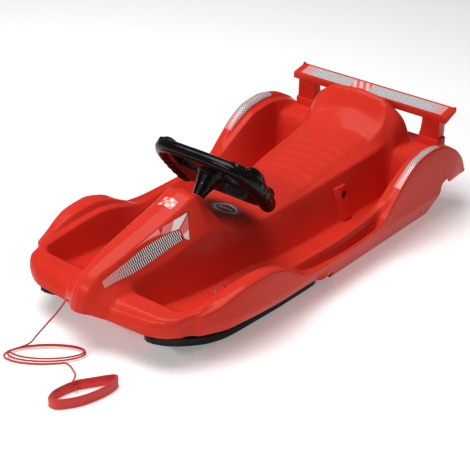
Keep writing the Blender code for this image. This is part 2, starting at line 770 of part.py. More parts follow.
# Ski bolts, nuts and pins
bolt_head_radius = 0.009
bolt_head_height = 0.005
counterbore_depth = 0.006
washer_radius = 0.011
washer_thickness = 0.0015
dome_nut_flats = 0.017
dome_nut_height = 0.008
dome_radius = 0.0075
pin_shoulder_radius = 0.0075
pin_seat_depth = 0.006
pin_headroom = 0.00256877
clip_radius = 0.009
clip_thickness = 0.0012
screw_head_radius = 0.004
screw_head_height = 0.0025

# Rear wing
wing_rear_thickness = 0.009
wing_corner = 0.0015
wing_screw_length = 0.010
wing_screw_head_radius = 0.0045
wing_screw_head_height = 0.003

link_middle_z = ski_top + link_lift + link_thickness / 2
crank_depth = (math.sin(column_lean) * (wheel_centre_y - link_bar_y)
               + math.cos(column_lean) * (wheel_centre_z - link_middle_z))
crank_reach = (math.sin(column_lean) * (wheel_centre_z - link_middle_z)
               - math.cos(column_lean) * (wheel_centre_y - link_bar_y))


def axis_frame():
    """The frame of the steering: its origin at the wheel's centre, Z towards the rider, Y down the wheel."""
    return Matrix.Translation(axis_point(0)) @ Matrix.Rotation(-column_lean, 4, "X")


def tube(points, radius, resolution=2, radius_shares=None):
    """A round tube with filled ends along a row of points, as a closed mesh."""
    path = bpy.data.curves.new("tube_path", "CURVE")
    fill_path(path, points, radius, resolution, radius_shares)
    carrier = bpy.data.objects.new("tube_path", path)
    bpy.context.scene.collection.objects.link(carrier)
    bpy.context.view_layer.update()
    data = bpy.data.meshes.new_from_object(carrier.evaluated_get(bpy.context.evaluated_depsgraph_get()))
    made = bmesh.new()
    made.from_mesh(data)
    bmesh.ops.remove_doubles(made, verts=made.verts, dist=0.00001)
    bmesh.ops.recalc_face_normals(made, faces=made.faces)
    bpy.data.objects.remove(carrier, do_unlink=True)
    bpy.data.curves.remove(path)
    bpy.data.meshes.remove(data)
    return made


def fill_path(path, points, radius, resolution, radius_shares=None):
    path.dimensions = "3D"
    path.bevel_depth = radius
    path.bevel_resolution = resolution
    path.use_fill_caps = True
    line = path.splines.new("POLY")
    line.points.add(len(points) - 1)
    for index, point in enumerate(points):
        line.points[index].co = (*point, 1)
        if radius_shares:
            line.points[index].radius = radius_shares[index]


def ball(centre, size, sides=14, rings=8):
    """An ellipsoid from its centre and three half sizes."""
    made = bmesh.new()
    bmesh.ops.create_uvsphere(made, u_segments=sides, v_segments=rings, radius=1.0)
    bmesh.ops.transform(made, matrix=Matrix.Translation(centre) @ Matrix.Diagonal((*size, 1.0)),
                        verts=made.verts)
    return made


def soften(made, width, steps=2, sharper_than=math.radians(30)):
    """Bevel every edge of a bmesh that is sharper than an angle."""
    edges = [edge for edge in made.edges
             if len(edge.link_faces) == 2 and edge.calc_face_angle() > sharper_than]
    bmesh.ops.bevel(made, geom=edges, offset=width, segments=steps, profile=0.5, affect="EDGES",
                    clamp_overlap=True)
    return made


def hexagon(flats, low, high):
    return rod((0, 0, low), (0, 0, high), flats / math.sqrt(3), 6)


def hollow(profile, sides=20):
    """A ring turned round local Z from a closed row of (radius, height) points."""
    return turned(list(profile) + [profile[0]], sides)


def wheel_plate_outline():
    """Spoke, windows and lower arms of the wheel, seen along its axis."""
    spoke = spoke_width / 2
    half = [
        (spoke, -wheel_half_height), (spoke, window_bottom), (window_half_width, window_bottom),
        (plate_half_width, window_bottom), (plate_half_width, plate_bottom * 0.86),
        (plate_half_width * 0.8, plate_bottom)]
    outline = half + [(-x, y) for x, y in reversed(half)]
    radii = [0, plate_corner / 2, 0, 0, plate_corner, plate_corner]
    return rounded(outline, radii + radii[::-1], 3)


def build_wheel(parts, cutters):
    frame = axis_frame()
    shape = prism(wheel_plate_outline(), -plate_thickness / 2, plate_thickness / 2)
    wheel = finish(soften(shape, plate_edge), "steering_wheel", parts, black_plastic, frame)
    half = [(x * wheel_half_width, y * wheel_half_height, 0) for x, y in ring_shares]
    path = [mirrored(point) for point in reversed(half[1:])] + half
    radii = list(reversed(ring_radius_shares[1:])) + list(ring_radius_shares)
    ring = finish(tube(path, grip_radius, 2, radii), "wheel_ring_form", cutters, None, frame)
    join(wheel, ring)
    for side in (1, -1):
        palm = finish(ball((side * palm_x, palm_y, palm_z), palm_size), f"palm_form_{side_name(side)}",
                      cutters, None, frame)
        stop = finish(ball((side * palm_x, stop_y, stop_z), stop_size), f"stop_form_{side_name(side)}",
                      cutters, None, frame)
        join(wheel, palm, stop)
    cone_end = -dash_depth + bearing_flange + fit_gap
    cone = finish(rod((0, 0, cone_end), (0, 0, 0), cone_tip_radius, 20, hub_radius), "hub_cone_form",
                  cutters, None, frame)
    bore = finish(rod((0, 0, cone_end - overrun), (0, 0, -clamp_thickness), column_radius + column_clearance,
                      24),
                  "wheel_bore_form", cutters, None, frame)
    eye = finish(rod((0, 0, -overrun), (0, 0, overrun), column_thread_radius + fit_gap, 16),
                 "wheel_eye_form", cutters,
                 None, frame)
    recess = finish(rod((0, 0, 0), (0, 0, plate_thickness), nut_recess_radius, 24), "nut_recess_form",
                    cutters, None, frame)
    join(wheel, cone)
    cut(wheel, bore, eye, recess)

    top = plate_thickness / 2 + fit_gap
    plug = nut_recess_radius - fit_gap
    cap = turned([(0, top + cap_rise), (cap_radius / 2, top + cap_rise * 0.9),
                  (cap_radius * 0.85, top + cap_rise * 0.62),
                  (cap_radius, top + cap_rim), (cap_radius, top), (plug, top), (plug, top - cap_plug),
                  (0, top - cap_plug)])
    finish(cap, "wheel_cap", parts, black_plastic, frame)

    nut = finish(hexagon(nut_flats, fit_gap, fit_gap + nut_height), "wheel_nut", parts, zinc_steel, frame)
    thread = finish(rod((0, 0, -overrun), (0, 0, overrun * 2), column_thread_radius + fit_gap, 16),
                    "wheel_nut_bore_form",
                    cutters, None, frame)
    cut(nut, thread)
    return wheel


def build_column(parts, cutters):
    frame = axis_frame()
    end = -crank_depth - crank_hub_half + fit_gap
    shoulder = -clamp_thickness - fit_gap
    column = turned([(0, column_top), (column_thread_radius, column_top), (column_thread_radius, shoulder),
                     (column_radius, shoulder), (column_radius, end), (0, end)], 16)
    column = finish(column, "steering_column", parts, zinc_steel, frame)
    tapped = finish(rod((0, 0, end - overrun), (0, 0, end + crank_screw_length + fit_gap),
                        crank_screw_radius + fit_gap, 12),
                    "crank_screw_bore_form", cutters, None, frame)
    cut(column, tapped)

    seat = -dash_depth + fit_gap
    low = -dash_depth - bearing_length
    inner = column_radius + column_clearance
    bush = hollow([(inner, seat + bearing_flange), (bearing_flange_radius, seat + bearing_flange),
                   (bearing_flange_radius, seat), (bearing_radius, seat), (bearing_radius, low),
                   (inner, low)])
    finish(bush, "column_bearing", parts, black_plastic, frame)

    hub_low = -crank_depth - crank_hub_half
    crank = finish(rod((0, 0, hub_low), (0, 0, -crank_depth + crank_hub_half), crank_hub_radius, 24),
                   "steering_crank",
                   parts, zinc_steel, frame)
    reach = crank_reach
    finger = finish(rod((0, 0, -crank_depth), (0, reach, -crank_depth), finger_radius, 16), "finger_form",
                    cutters, None,
                    frame)
    bore = finish(rod((0, 0, hub_low - overrun), (0, 0, overrun - crank_depth + crank_hub_half),
                      column_radius + fit_gap, 24), "crank_bore_form", cutters, None, frame)
    end_ball = finish(ball((0, crank_reach, -crank_depth), (finger_ball_radius,) * 3, 16, 10),
                      "finger_ball_form",
                      cutters, None, frame)
    join(crank, finger, end_ball)
    cut(crank, bore)

    head = hub_low - fit_gap
    screw = turned([(0, end + crank_screw_length), (crank_screw_radius, end + crank_screw_length),
                    (crank_screw_radius, head), (crank_head_radius, head),
                    (crank_head_radius, head - crank_head_height),
                    (0, head - crank_head_height)], 12)
    finish(screw, "crank_screw", parts, zinc_steel, frame)


def bracket_top():
    return pad_top() - pad_depth - fit_gap


def build_bracket(parts, cutters):
    """A bent steel plate under the footwell floors whose tab carries the foot of the column."""
    top = bracket_top()
    low = top - bracket_thickness
    tab_depth = crank_depth - crank_hub_half - fit_gap
    tab_foot = (wheel_centre_z - math.cos(column_lean) * tab_depth - low) / math.sin(column_lean)
    tab_foot_y = axis_point(tab_depth, 0, tab_foot).y
    reach = pad_inner + pad_width - stub_margin
    neck = tab_width / 2
    rear = pad_front + pad_length
    outline = [(neck, tab_foot_y), (neck, pad_front), (reach, pad_front), (reach, rear)]
    outline = outline + [(-x, y) for x, y in reversed(outline)]
    bracket = finish(prism(outline, low, top), "column_bracket", parts, zinc_steel)
    frame = axis_frame()
    tab = box((-neck, -crank_hub_radius * 1.6, -tab_depth),
              (tab_width, tab_foot + crank_hub_radius * 1.6, bracket_thickness))
    tab = finish(tab, "bracket_tab_form", cutters, None, frame)
    hole = rod((0, 0, -tab_depth - overrun), (0, 0, overrun - tab_depth), column_radius + column_clearance,
               24)
    hole = finish(hole, "bracket_hole_form", cutters, None, frame)
    under = box((-tab_width, tab_foot_y - overrun * 2, low - overrun), (tab_width * 2, overrun * 4, overrun))
    under = finish(under, "bracket_foot_form", cutters)
    join(bracket, tab)
    cut(bracket, hole, under)
    for side in (1, -1):
        for row in (0, 1):
            x, y = bracket_screw_place(side, row)
            bore = rod((x, y, low - overrun), (x, y, top + overrun), bracket_screw_radius + fit_gap, 12)
            cut(bracket, finish(bore, f"bracket_bore_form_{side_name(side)}_{row}", cutters))
            seat = pad_top() + fit_gap
            screw = turned([(0, seat + screw_head_height),
                            (screw_head_radius * 0.8, seat + screw_head_height),
                            (screw_head_radius, seat + screw_head_height / 2), (screw_head_radius, seat),
                            (bracket_screw_radius, seat), (bracket_screw_radius, low), (0, low)], 10)
            bmesh.ops.translate(screw, verts=screw.verts, vec=(x, y, 0))
            finish(screw, f"bracket_screw_{('front', 'rear')[row]}_{side_name(side)}", parts, zinc_steel)


def build_link(parts, cutters):
    """The flat sliding link between the crank's finger and the pins of both skis."""
    low = ski_top + link_lift
    top = low + link_thickness
    bar = link_bar_width / 2
    outer = link_arm_inner + link_arm_width
    foot_y = pivot_y + ski_pin_lead
    half = [(0, link_bar_y - bar), (outer, link_bar_y - bar), (outer, foot_y - link_foot_radius),
            (ski_middle + link_foot_radius, foot_y - link_foot_radius),
            (ski_middle + link_foot_radius, foot_y + link_foot_radius),
            (link_arm_inner, foot_y + link_foot_radius),
            (link_arm_inner, link_bar_y + bar)]
    outline = half[1:] + [(-x, y) for x, y in reversed(half[1:])]
    radii = [bar / 2, bar / 4, link_foot_radius, link_foot_radius, bar / 4, bar / 2]
    shape = prism(rounded(outline, radii + radii[::-1], 3), low, top)
    link = finish(shape, "steering_link", parts, zinc_steel)
    slot = finger_ball_radius + finger_play
    slot_long = slot + link_play
    opening = rounded([(-slot, link_bar_y - slot_long), (slot, link_bar_y - slot_long),
                       (slot, link_bar_y + slot_long),
                       (-slot, link_bar_y + slot_long)], slot, 3)
    cut(link, finish(prism(opening, low - overrun, top + overrun), "finger_slot_form", cutters))
    for side in (1, -1):
        x = side * ski_middle
        bore = rod((x, foot_y, low - overrun), (x, foot_y, top + overrun), ski_pin_radius + link_play, 16)
        cut(link, finish(bore, f"link_bore_form_{side_name(side)}", cutters))


def ski_profile():
    """Side view of a ski: the line of its underside, then back along its top."""
    steps = 8
    bottom = [(ski_rear, keel_height), (ski_flat_front, keel_height)]
    for step in range(1, steps + 1):
        share = step / steps
        bottom.append((ski_flat_front + (ski_front - ski_flat_front) * share,
                       keel_height + ski_tip_rise * share ** 1.8))
    top = []
    for index, (y, z) in enumerate(bottom):
        ahead = bottom[min(index + 1, len(bottom) - 1)]
        behind = bottom[max(index - 1, 0)]
        slope = Vector((ahead[0] - behind[0], ahead[1] - behind[1])).normalized()
        top.append((y + slope.y * ski_thickness, z - slope.x * ski_thickness))
    return bottom + top[::-1]


def ski_plan(side):
    """Plan outline of a ski, tapered on its outer edge towards a round tip."""
    length = ski_rear - ski_front
    rear = rounded([(0, ski_rear - ski_corner * 2), (0, ski_rear), (ski_width, ski_rear),
                    (ski_width, ski_rear - ski_corner * 2)], [0, ski_corner, ski_corner, 0], 4)
    front = [(ski_width * across, ski_rear - length * along) for across, along in ski_tip_shares]
    return [(side * (ski_inner + x), y) for x, y in rear + front]


def build_ski(side, parts, cutters):
    """One steered ski; its origin is on its pivot."""
    name = side_name(side)
    x = side * ski_middle
    half = ski_width / 2
    shape = prism(ski_profile(), x - half, x + half, "X")
    ski = finish(shape, f"ski_{name}", parts, black_plastic)
    trim = finish(prism(ski_plan(side), -overrun, ski_tip_rise + ski_thickness * 3), f"ski_plan_form_{name}",
                  cutters)
    boolean(ski, trim, "INTERSECT")
    for edge in (-1, 1):
        keel_x = x + edge * (half - keel_inset)
        keel = box((keel_x - keel_width / 2, ski_flat_front, 0),
                   (keel_width, ski_rear - ski_flat_front - ski_corner, keel_height + overrun / 4))
        join(ski, finish(soften(keel, keel_height / 3, 1), f"keel_form_{name}_{edge}", cutters))
    bore = rod((x, pivot_y, -overrun), (x, pivot_y, ski_top + overrun), pivot_radius + fit_gap, 20)
    head = rod((x, pivot_y, -overrun), (x, pivot_y, keel_height + counterbore_depth),
               bolt_head_radius + fit_gap, 20)
    pin_y = pivot_y + ski_pin_lead
    pin = rod((x, pin_y, ski_top - pin_seat_depth), (x, pin_y, ski_top + overrun), ski_pin_radius + fit_gap,
              16)
    cut(ski, finish(bore, f"ski_bore_form_{name}", cutters),
        finish(head, f"ski_counterbore_form_{name}", cutters),
        finish(pin, f"ski_pin_seat_form_{name}", cutters))
    place_origin(ski, (x, pivot_y, 0))

    seat = keel_height + counterbore_depth - fit_gap
    washer_low = pivot_boss_top() + fit_gap
    nut_low = washer_low + washer_thickness + fit_gap
    shank_top = nut_low + dome_nut_height
    bolt = turned([(0, shank_top), (pivot_radius, shank_top), (pivot_radius, seat), (bolt_head_radius, seat),
                   (bolt_head_radius, seat - bolt_head_height * 0.6),
                   (bolt_head_radius * 0.7, seat - bolt_head_height),
                   (0, seat - bolt_head_height)], 14)
    finish(bolt, f"ski_bolt_{name}", parts, zinc_steel, Matrix.Translation((x, pivot_y, 0)))
    washer = hollow([(pivot_radius + fit_gap, washer_low + washer_thickness),
                     (washer_radius, washer_low + washer_thickness),
                     (washer_radius, washer_low), (pivot_radius + fit_gap, washer_low)], 14)
    finish(washer, f"ski_washer_{name}", parts, zinc_steel, Matrix.Translation((x, pivot_y, 0)))
    nut = finish(hexagon(dome_nut_flats, nut_low, nut_low + dome_nut_height), f"ski_nut_{name}", parts,
                 zinc_steel,
                 Matrix.Translation((x, pivot_y, 0)))
    dome = ball((x, pivot_y, nut_low + dome_nut_height), (dome_radius, dome_radius, dome_radius), 12, 6)
    inside = rod((x, pivot_y, nut_low - overrun), (x, pivot_y, shank_top + fit_gap), pivot_radius + fit_gap,
                 20)
    join(nut, finish(dome, f"nut_dome_form_{name}", cutters))
    cut(nut, finish(inside, f"nut_bore_form_{name}", cutters))

    link_low = ski_top + link_lift
    link_top = link_low + link_thickness
    shoulder = pin_shoulder_radius
    pin_top = floor_at(pin_y) - wall - pin_headroom
    pin = turned([(0, pin_top), (ski_pin_radius * 0.7, pin_top),
                  (ski_pin_radius, pin_top - ski_pin_radius * 0.3), (ski_pin_radius, link_low - fit_gap),
                  (shoulder, link_low - fit_gap), (shoulder, ski_top + fit_gap),
                  (ski_pin_radius, ski_top + fit_gap),
                  (ski_pin_radius, ski_top - pin_seat_depth + fit_gap),
                  (0, ski_top - pin_seat_depth + fit_gap)], 12)
    finish(pin, f"ski_pin_{name}", parts, zinc_steel, Matrix.Translation((x, pin_y, 0)))
    clip_low = link_top + fit_gap
    inner = ski_pin_radius + fit_gap
    clip = hollow([(inner, clip_low + clip_thickness), (clip_radius, clip_low + clip_thickness),
                   (clip_radius, clip_low),
                   (inner, clip_low)], 12)
    finish(clip, f"pin_clip_{name}", parts, zinc_steel, Matrix.Translation((x, pin_y, 0)))


def place_origin(made, point):
    """Move an object's origin to a point without moving its shape."""
    made.data.transform(Matrix.Translation(Vector(point)).inverted())
    made.location = point


def build_wing(parts, cutters):
    """The rear wing: a blade that rises to the rear, with raised tips, on two pillars set in the deck."""
    rear = wing_front + wing_chord
    top = wing_bottom + wing_thickness
    rear_top = top + wing_rise
    side_view = [(wing_front, wing_bottom), (wing_front, top), (rear, rear_top),
                 (rear, rear_top - wing_rear_thickness)]
    blade = prism(side_view, -wing_half_length, wing_half_length, "X")
    wing = finish(soften(blade, wing_corner, 2), "rear_wing", parts, red_plastic)
    for side in (1, -1):
        name = side_name(side)
        tip_end = wing_half_length - wing_corner / 2
        tip_low = rear_top - wing_rear_thickness / 2
        tip = [(side * (tip_end - wing_tip_length), tip_low), (side * tip_end, tip_low),
               (side * tip_end, rear_top + wing_tip_rise)]
        tip = prism(tip, rear - wing_tip_length / 2, rear - wing_corner / 2, "Y")
        join(wing, finish(tip, f"wing_tip_form_{name}", cutters))
        pillar_high = wing_bottom + wing_thickness * 0.8
        pillar = prism(sided(rounded(pillar_outline(0), wing_corner), side), stub_top + fit_gap, pillar_high)
        spigot = prism(sided(pillar_outline(-wall / 2), side), stub_top - spigot_depth, wing_bottom)
        spigot = finish(spigot, f"spigot_form_{name}", cutters)
        join(wing, finish(pillar, f"pillar_form_{name}", cutters), spigot)
        x = side * (pillar_inner + pillar_width / 2)
        z = stub_top - spigot_depth / 2
        outer = pillar_front + pillar_depth + stub_margin + fit_gap
        bore = rod((x, outer - wing_screw_length - fit_gap, z), (x, outer, z), wing_screw_radius + fit_gap,
                   12)
        cut(wing, finish(bore, f"wing_bore_form_{name}", cutters))
        screw = turned([(0, wing_screw_head_height), (wing_screw_head_radius * 0.8, wing_screw_head_height),
                        (wing_screw_head_radius, wing_screw_head_height / 2), (wing_screw_head_radius, 0),
                        (wing_screw_radius, 0), (wing_screw_radius, -wing_screw_length),
                        (0, -wing_screw_length)], 10)
        turn = Matrix.Translation((x, outer, z)) @ Matrix.Rotation(-math.pi / 2, 4, "X")
        finish(screw, f"wing_screw_{name}", parts, zinc_steel, turn)


# Route of the pull cord, from the knot inside the nose to the hand strap
cord_knot_radius = 0.0055
lead_route = (
    (-0.047, -0.4848, 0.0790), (-0.047, -0.4910, 0.0790), (-0.047, -0.4975, 0.0788),
    (-0.0475, -0.506, 0.0720),
    (-0.050, -0.522, 0.0590), (-0.052, -0.545, 0.0460), (-0.054, -0.568, 0.0330), (-0.056, -0.590, 0.0220))
tail_route = ((0.034, -0.571, 0.0021), (0.052, -0.580, 0.0040), (0.070, -0.593, 0.0085))
strap_eye_share = 0.5
tail_place = (0.092, -0.618)
strap_route = (
    (0.0950, -0.6840), (0.1100, -0.6820), (0.1250, -0.6650), (0.1370, -0.6430), (0.1455, -0.6150),
    (0.1490, -0.5860),
    (0.1460, -0.5620), (0.1370, -0.5570), (0.1260, -0.5700), (0.1110, -0.5930), (0.0970, -0.6150),
    (0.0900, -0.6400),
    (0.0885, -0.6660))
coil_centre = (-0.0260, -0.5740)
coil_heading = math.radians(42)
coil_half_length = 0.068
coil_half_width = 0.024
coil_growth = 0.010
coil_turns = 2.25
coil_start_share = 0.555
coil_points = 24
cord_step_share = 2.4
cord_pitch = 0.0040
cord_ground = 0.0002


def coil_point(share):
    """A point of the elongated coil; the share runs from its top end to its bottom end."""
    angle = math.tau * (coil_start_share + coil_turns * share)
    long = (coil_half_length + coil_growth * share) * math.cos(angle)
    short = (coil_half_width + coil_growth * share / 1.5) * math.sin(angle)
    drift = coil_growth * (0.5 - share) / 1.5
    x = coil_centre[0] + (long + drift) * math.cos(coil_heading) - short * math.sin(coil_heading)
    y = coil_centre[1] + (long + drift) * math.sin(coil_heading) + short * math.cos(coil_heading)
    return Vector((x, y, cord_radius + cord_ground + cord_pitch * coil_turns * (1 - share)))


def smooth(route, step):
    """Points at even steps along a smooth curve through a route."""
    route = [Vector(point) for point in route]
    padded = [route[0] * 2 - route[1]] + route + [route[-1] * 2 - route[-2]]
    fine = []
    parts_per_span = 24
    for a, b, c, d in zip(padded, padded[1:], padded[2:], padded[3:]):
        for index in range(parts_per_span):
            t = index / parts_per_span
            fine.append(0.5 * (2 * b + (c - a) * t + (2 * a - 5 * b + 4 * c - d) * t ** 2
                               + (3 * b - a - 3 * c + d) * t ** 3))
    fine.append(route[-1])
    total = sum((b - a).length for a, b in zip(fine, fine[1:]))
    count = max(2, round(total / step))
    points, run, target = [fine[0]], 0.0, total / count
    for a, b in zip(fine, fine[1:]):
        run += (b - a).length
        if run >= target * len(points) and len(points) < count:
            points.append(b)
    points.append(fine[-1])
    return points


def cord_object(name, home, points, resolution):
    path = bpy.data.curves.new(name, "CURVE")
    fill_path(path, points, cord_radius, resolution)
    path.materials.append(material(red_cord))
    made = bpy.data.objects.new(name, path)
    home.objects.link(made)
    return made


def least_gap(points, apart):
    """The least gap of a cord to itself between points that lie well apart along it."""
    best = 1.0
    for index, here in enumerate(points):
        for other in range(index + apart, len(points) - 1):
            a, b = points[other], points[other + 1]
            share = max(0.0, min(1.0, (here - a).dot(b - a) / (b - a).length_squared))
            best = min(best, (here - a.lerp(b, share)).length - cord_radius * 2)
    return best


def build_cord(parts):
    """A thin cord from a knot inside the nose, with slack loops on the ground and a webbing hand strap."""
    straight = cord_radius * 2
    count = round(coil_points * coil_turns)
    loops = [coil_point(index / count) for index in range(count + 1)]
    start = (loops[1] - loops[0]).normalized()
    end = (loops[-1] - loops[-2]).normalized()
    loops = [loops[0] - start * straight] + loops + [loops[-1] + end * straight]
    cord_object("cord_coil", parts, loops, 1)
    print("least gap of the coil to itself", round(1000 * least_gap(loops, 6), 2), "mm")

    top = loops[0] - start * fit_gap
    lead = smooth(list(lead_route) + [top - start * straight * 3, top - start * straight],
                  straight * cord_step_share) + [top]
    cord_object("cord_lead", parts, lead, 2)
    bottom = loops[-1] + end * fit_gap
    loop = smooth([(x, y, 0) for x, y in strap_route] + [(*strap_route[0], 0)], strap_width / 2)[:-1]
    place = Vector((*tail_place, 0))
    near = min(range(len(loop)), key=lambda index: (loop[index] - place).length)
    along = (loop[(near + 1) % len(loop)] - loop[near - 1]).normalized()
    outward = Vector((along.y, -along.x, 0))
    middle = sum(loop, Vector()) / len(loop)
    if outward.dot(loop[near] - middle) < 0:
        outward = -outward
    seat = loop[near] + Vector((0, 0, cord_ground + strap_width * strap_eye_share))
    ends = [seat + outward * (strap_thickness / 2 + fit_gap + straight * step) for step in (3, 1, 0)]
    tail = [bottom] + smooth([bottom + end * straight,
                              bottom + end * straight * 3] + list(tail_route) + ends,
                             straight * cord_step_share)
    cord_object("cord_tail", parts, tail, 2)
    length = sum((b - a).length for a, b in zip(lead, lead[1:])) + sum((b - a).length for a,
                                                                       b in zip(loops, loops[1:]))
    length += sum((b - a).length for a, b in zip(tail, tail[1:]))
    print("length of the cord", round(length, 3), "m")

    start_point = Vector(lead_route[0])
    knot_centre = (start_point.x, start_point.y + cord_knot_radius + fit_gap, start_point.z)
    finish(ball(knot_centre, (cord_knot_radius,) * 3, 12, 6), "cord_knot", parts, red_cord)

    band = bmesh.new()
    low = [band.verts.new((point.x, point.y, cord_ground)) for point in loop]
    edges = [band.edges.new((a, b)) for a, b in zip(low, low[1:] + low[:1])]
    raised = bmesh.ops.extrude_edge_only(band, edges=edges)
    upper = [item for item in raised["geom"] if isinstance(item, bmesh.types.BMVert)]
    bmesh.ops.translate(band, verts=upper, vec=(0, 0, strap_width))
    bmesh.ops.recalc_face_normals(band, faces=band.faces)
    strap = finish(band, "hand_strap", parts, red_cord)
    thick = strap.modifiers.new("thickness", "SOLIDIFY")
    thick.thickness = strap_thickness
    thick.offset = 0


def main():
    clear_scene()
    parts = collection("snow_sled")
    cutters = collection("cutters")
    build_hull(parts, cutters)
    build_wing(parts, cutters)
    build_wheel(parts, cutters)
    build_column(parts, cutters)
    build_bracket(parts, cutters)
    build_link(parts, cutters)
    for side in (1, -1):
        build_ski(side, parts, cutters)
    build_cord(parts)


main()
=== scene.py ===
# %% [markdown]
# # A steerable snow sled, dressed for its photograph
#
# The sled is one moulded shell on two small front skis. A steering wheel turns a shaft,
# the shaft swings a crank, the crank slides a flat link and the link turns both skis.
# A bolted wing stands on the tail and a thin pull cord lies in front of the nose.
#
# The solid model is loaded first and never moved. Everything made below rides on one of
# its moving bodies, so that the same scene looks right at every position of the wheel.

# %% Load the solid model
import json
import math
from functools import partialmethod

import bmesh
import bpy
from mathutils import Matrix, Vector
from mathutils.bvhtree import BVHTree


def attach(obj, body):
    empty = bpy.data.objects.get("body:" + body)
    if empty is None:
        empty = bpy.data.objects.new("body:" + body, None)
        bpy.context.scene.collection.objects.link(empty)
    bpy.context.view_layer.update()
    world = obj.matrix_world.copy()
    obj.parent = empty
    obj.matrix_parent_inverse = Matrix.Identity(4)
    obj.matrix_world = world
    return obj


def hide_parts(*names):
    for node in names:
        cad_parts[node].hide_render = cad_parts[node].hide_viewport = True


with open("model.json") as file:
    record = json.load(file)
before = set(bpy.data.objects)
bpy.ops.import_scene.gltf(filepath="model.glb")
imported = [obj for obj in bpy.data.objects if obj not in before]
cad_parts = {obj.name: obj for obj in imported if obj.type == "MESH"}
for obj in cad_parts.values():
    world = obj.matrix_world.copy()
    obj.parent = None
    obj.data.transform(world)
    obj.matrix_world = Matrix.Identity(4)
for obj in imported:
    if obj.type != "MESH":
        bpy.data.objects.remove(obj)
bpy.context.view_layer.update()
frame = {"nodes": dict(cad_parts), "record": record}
nodes = frame["nodes"]

# %% [markdown]
# ## The camera
#
# The photograph was taken from the front and the rider's left, from a good height and with
# a long lens, so that the sled's long sides hardly converge. The camera is placed from the
# point that it looks at, its bearing round the sled, its height above the horizon and a
# slight roll, because the horizon of the photograph isn't quite level.

# %% Camera
VIEW_TARGET = Vector((0.0349, -0.0824, 0.0802))
VIEW_BEARING = math.radians(37.862)
VIEW_HEIGHT = math.radians(28.52)
VIEW_ROLL = math.radians(1.599)
VIEW_DISTANCE = 2.725
SENSOR = 36.0
PICTURE_WIDTH = 470
FOCAL_PIXELS = 1300.4
LENS = SENSOR * FOCAL_PIXELS / PICTURE_WIDTH


def new_object(name, data):
    made = bpy.data.objects.new(name, data)
    bpy.context.scene.collection.objects.link(made)
    return made



back = Vector((
    math.sin(VIEW_BEARING) * math.cos(VIEW_HEIGHT),
    -math.cos(VIEW_BEARING) * math.cos(VIEW_HEIGHT),
    math.sin(VIEW_HEIGHT),
))
level_right = Vector((math.cos(VIEW_BEARING), math.sin(VIEW_BEARING), 0))
level_up = level_right.cross(-back)
right = level_right * math.cos(VIEW_ROLL) + level_up * math.sin(VIEW_ROLL)
up = level_up * math.cos(VIEW_ROLL) - level_right * math.sin(VIEW_ROLL)

lens = bpy.data.cameras.new("photo_camera")
lens.sensor_width = SENSOR
lens.lens = LENS
camera = new_object("photo_camera", lens)
placed = Matrix((right, up, back)).transposed().to_4x4()
placed.translation = VIEW_TARGET + back * VIEW_DISTANCE
camera.matrix_world = placed
bpy.context.scene.camera = camera
print("camera at", [round(v, 3) for v in placed.translation])


# %% Helpers for meshes
def mesh_object(name, mesh_maker, smooth_angle=35):
    """Turn a bmesh into an object at the origin, shaded smooth below an angle in degrees."""
    data = bpy.data.meshes.new(name)
    mesh_maker.to_mesh(data)
    mesh_maker.free()
    data.shade_smooth()
    data.set_sharp_from_angle(angle=math.radians(smooth_angle))
    return new_object(name, data)


def smooth_route(route, step, fine_steps=24):
    """Points at even steps along a smooth curve through a route's points."""
    route = [Vector(point) for point in route]
    padded = [route[0] * 2 - route[1]] + route + [route[-1] * 2 - route[-2]]
    fine = []
    for a, b, c, d in zip(padded, padded[1:], padded[2:], padded[3:]):
        for index in range(fine_steps):
            t = index / fine_steps
            fine.append(0.5 * (2 * b + (c - a) * t + (2 * a - 5 * b + 4 * c - d) * t ** 2
                               + (3 * b - a - 3 * c + d) * t ** 3))
    fine.append(route[-1])
    runs = [0.0]
    for a, b in zip(fine, fine[1:]):
        runs.append(runs[-1] + (b - a).length)
    count = max(2, round(runs[-1] / step))
    points, index = [], 0
    for number in range(count + 1):
        target = runs[-1] * number / count
        while index < len(fine) - 2 and runs[index + 1] < target:
            index += 1
        reach = runs[index + 1] - runs[index]
        points.append(fine[index].lerp(fine[index + 1], (target - runs[index]) / reach))
    return points


# %% [markdown]
# ## The pull cord
#
# The cord is a thin braided line. It leaves a hole low in the nose, drops in a slack curve to
# the floor, lies there in two and a quarter loose loops and ends on the hand strap. The
# route is written as the loops' rule and a few points, and one tube is swept along the whole
# of it, so that the line never breaks. Its map runs along the line, which the braid follows.

# %% Route of the cord
CORD_RADIUS = 0.0017
CORD_GROUND = 0.0002
CORD_PITCH = 0.0040
COIL_CENTRE = (-0.0260, -0.5740)
COIL_HEADING = math.radians(42)
COIL_HALF_LENGTH = 0.068
COIL_HALF_WIDTH = 0.024
COIL_GROWTH = 0.010
COIL_TURNS = 2.25
COIL_START = 0.555
LEAD_ROUTE = (
    (-0.0470, -0.4848, 0.0790), (-0.0470, -0.4910, 0.0790), (-0.0470, -0.4975, 0.0788),
    (-0.0475, -0.5060, 0.0720), (-0.0500, -0.5220, 0.0590), (-0.0520, -0.5450, 0.0460),
    (-0.0540, -0.5680, 0.0330), (-0.0560, -0.5900, 0.0220))
TAIL_ROUTE = ((0.0340, -0.5710, 0.0021), (0.0520, -0.5800, 0.0040), (0.0700, -0.5930, 0.0085))


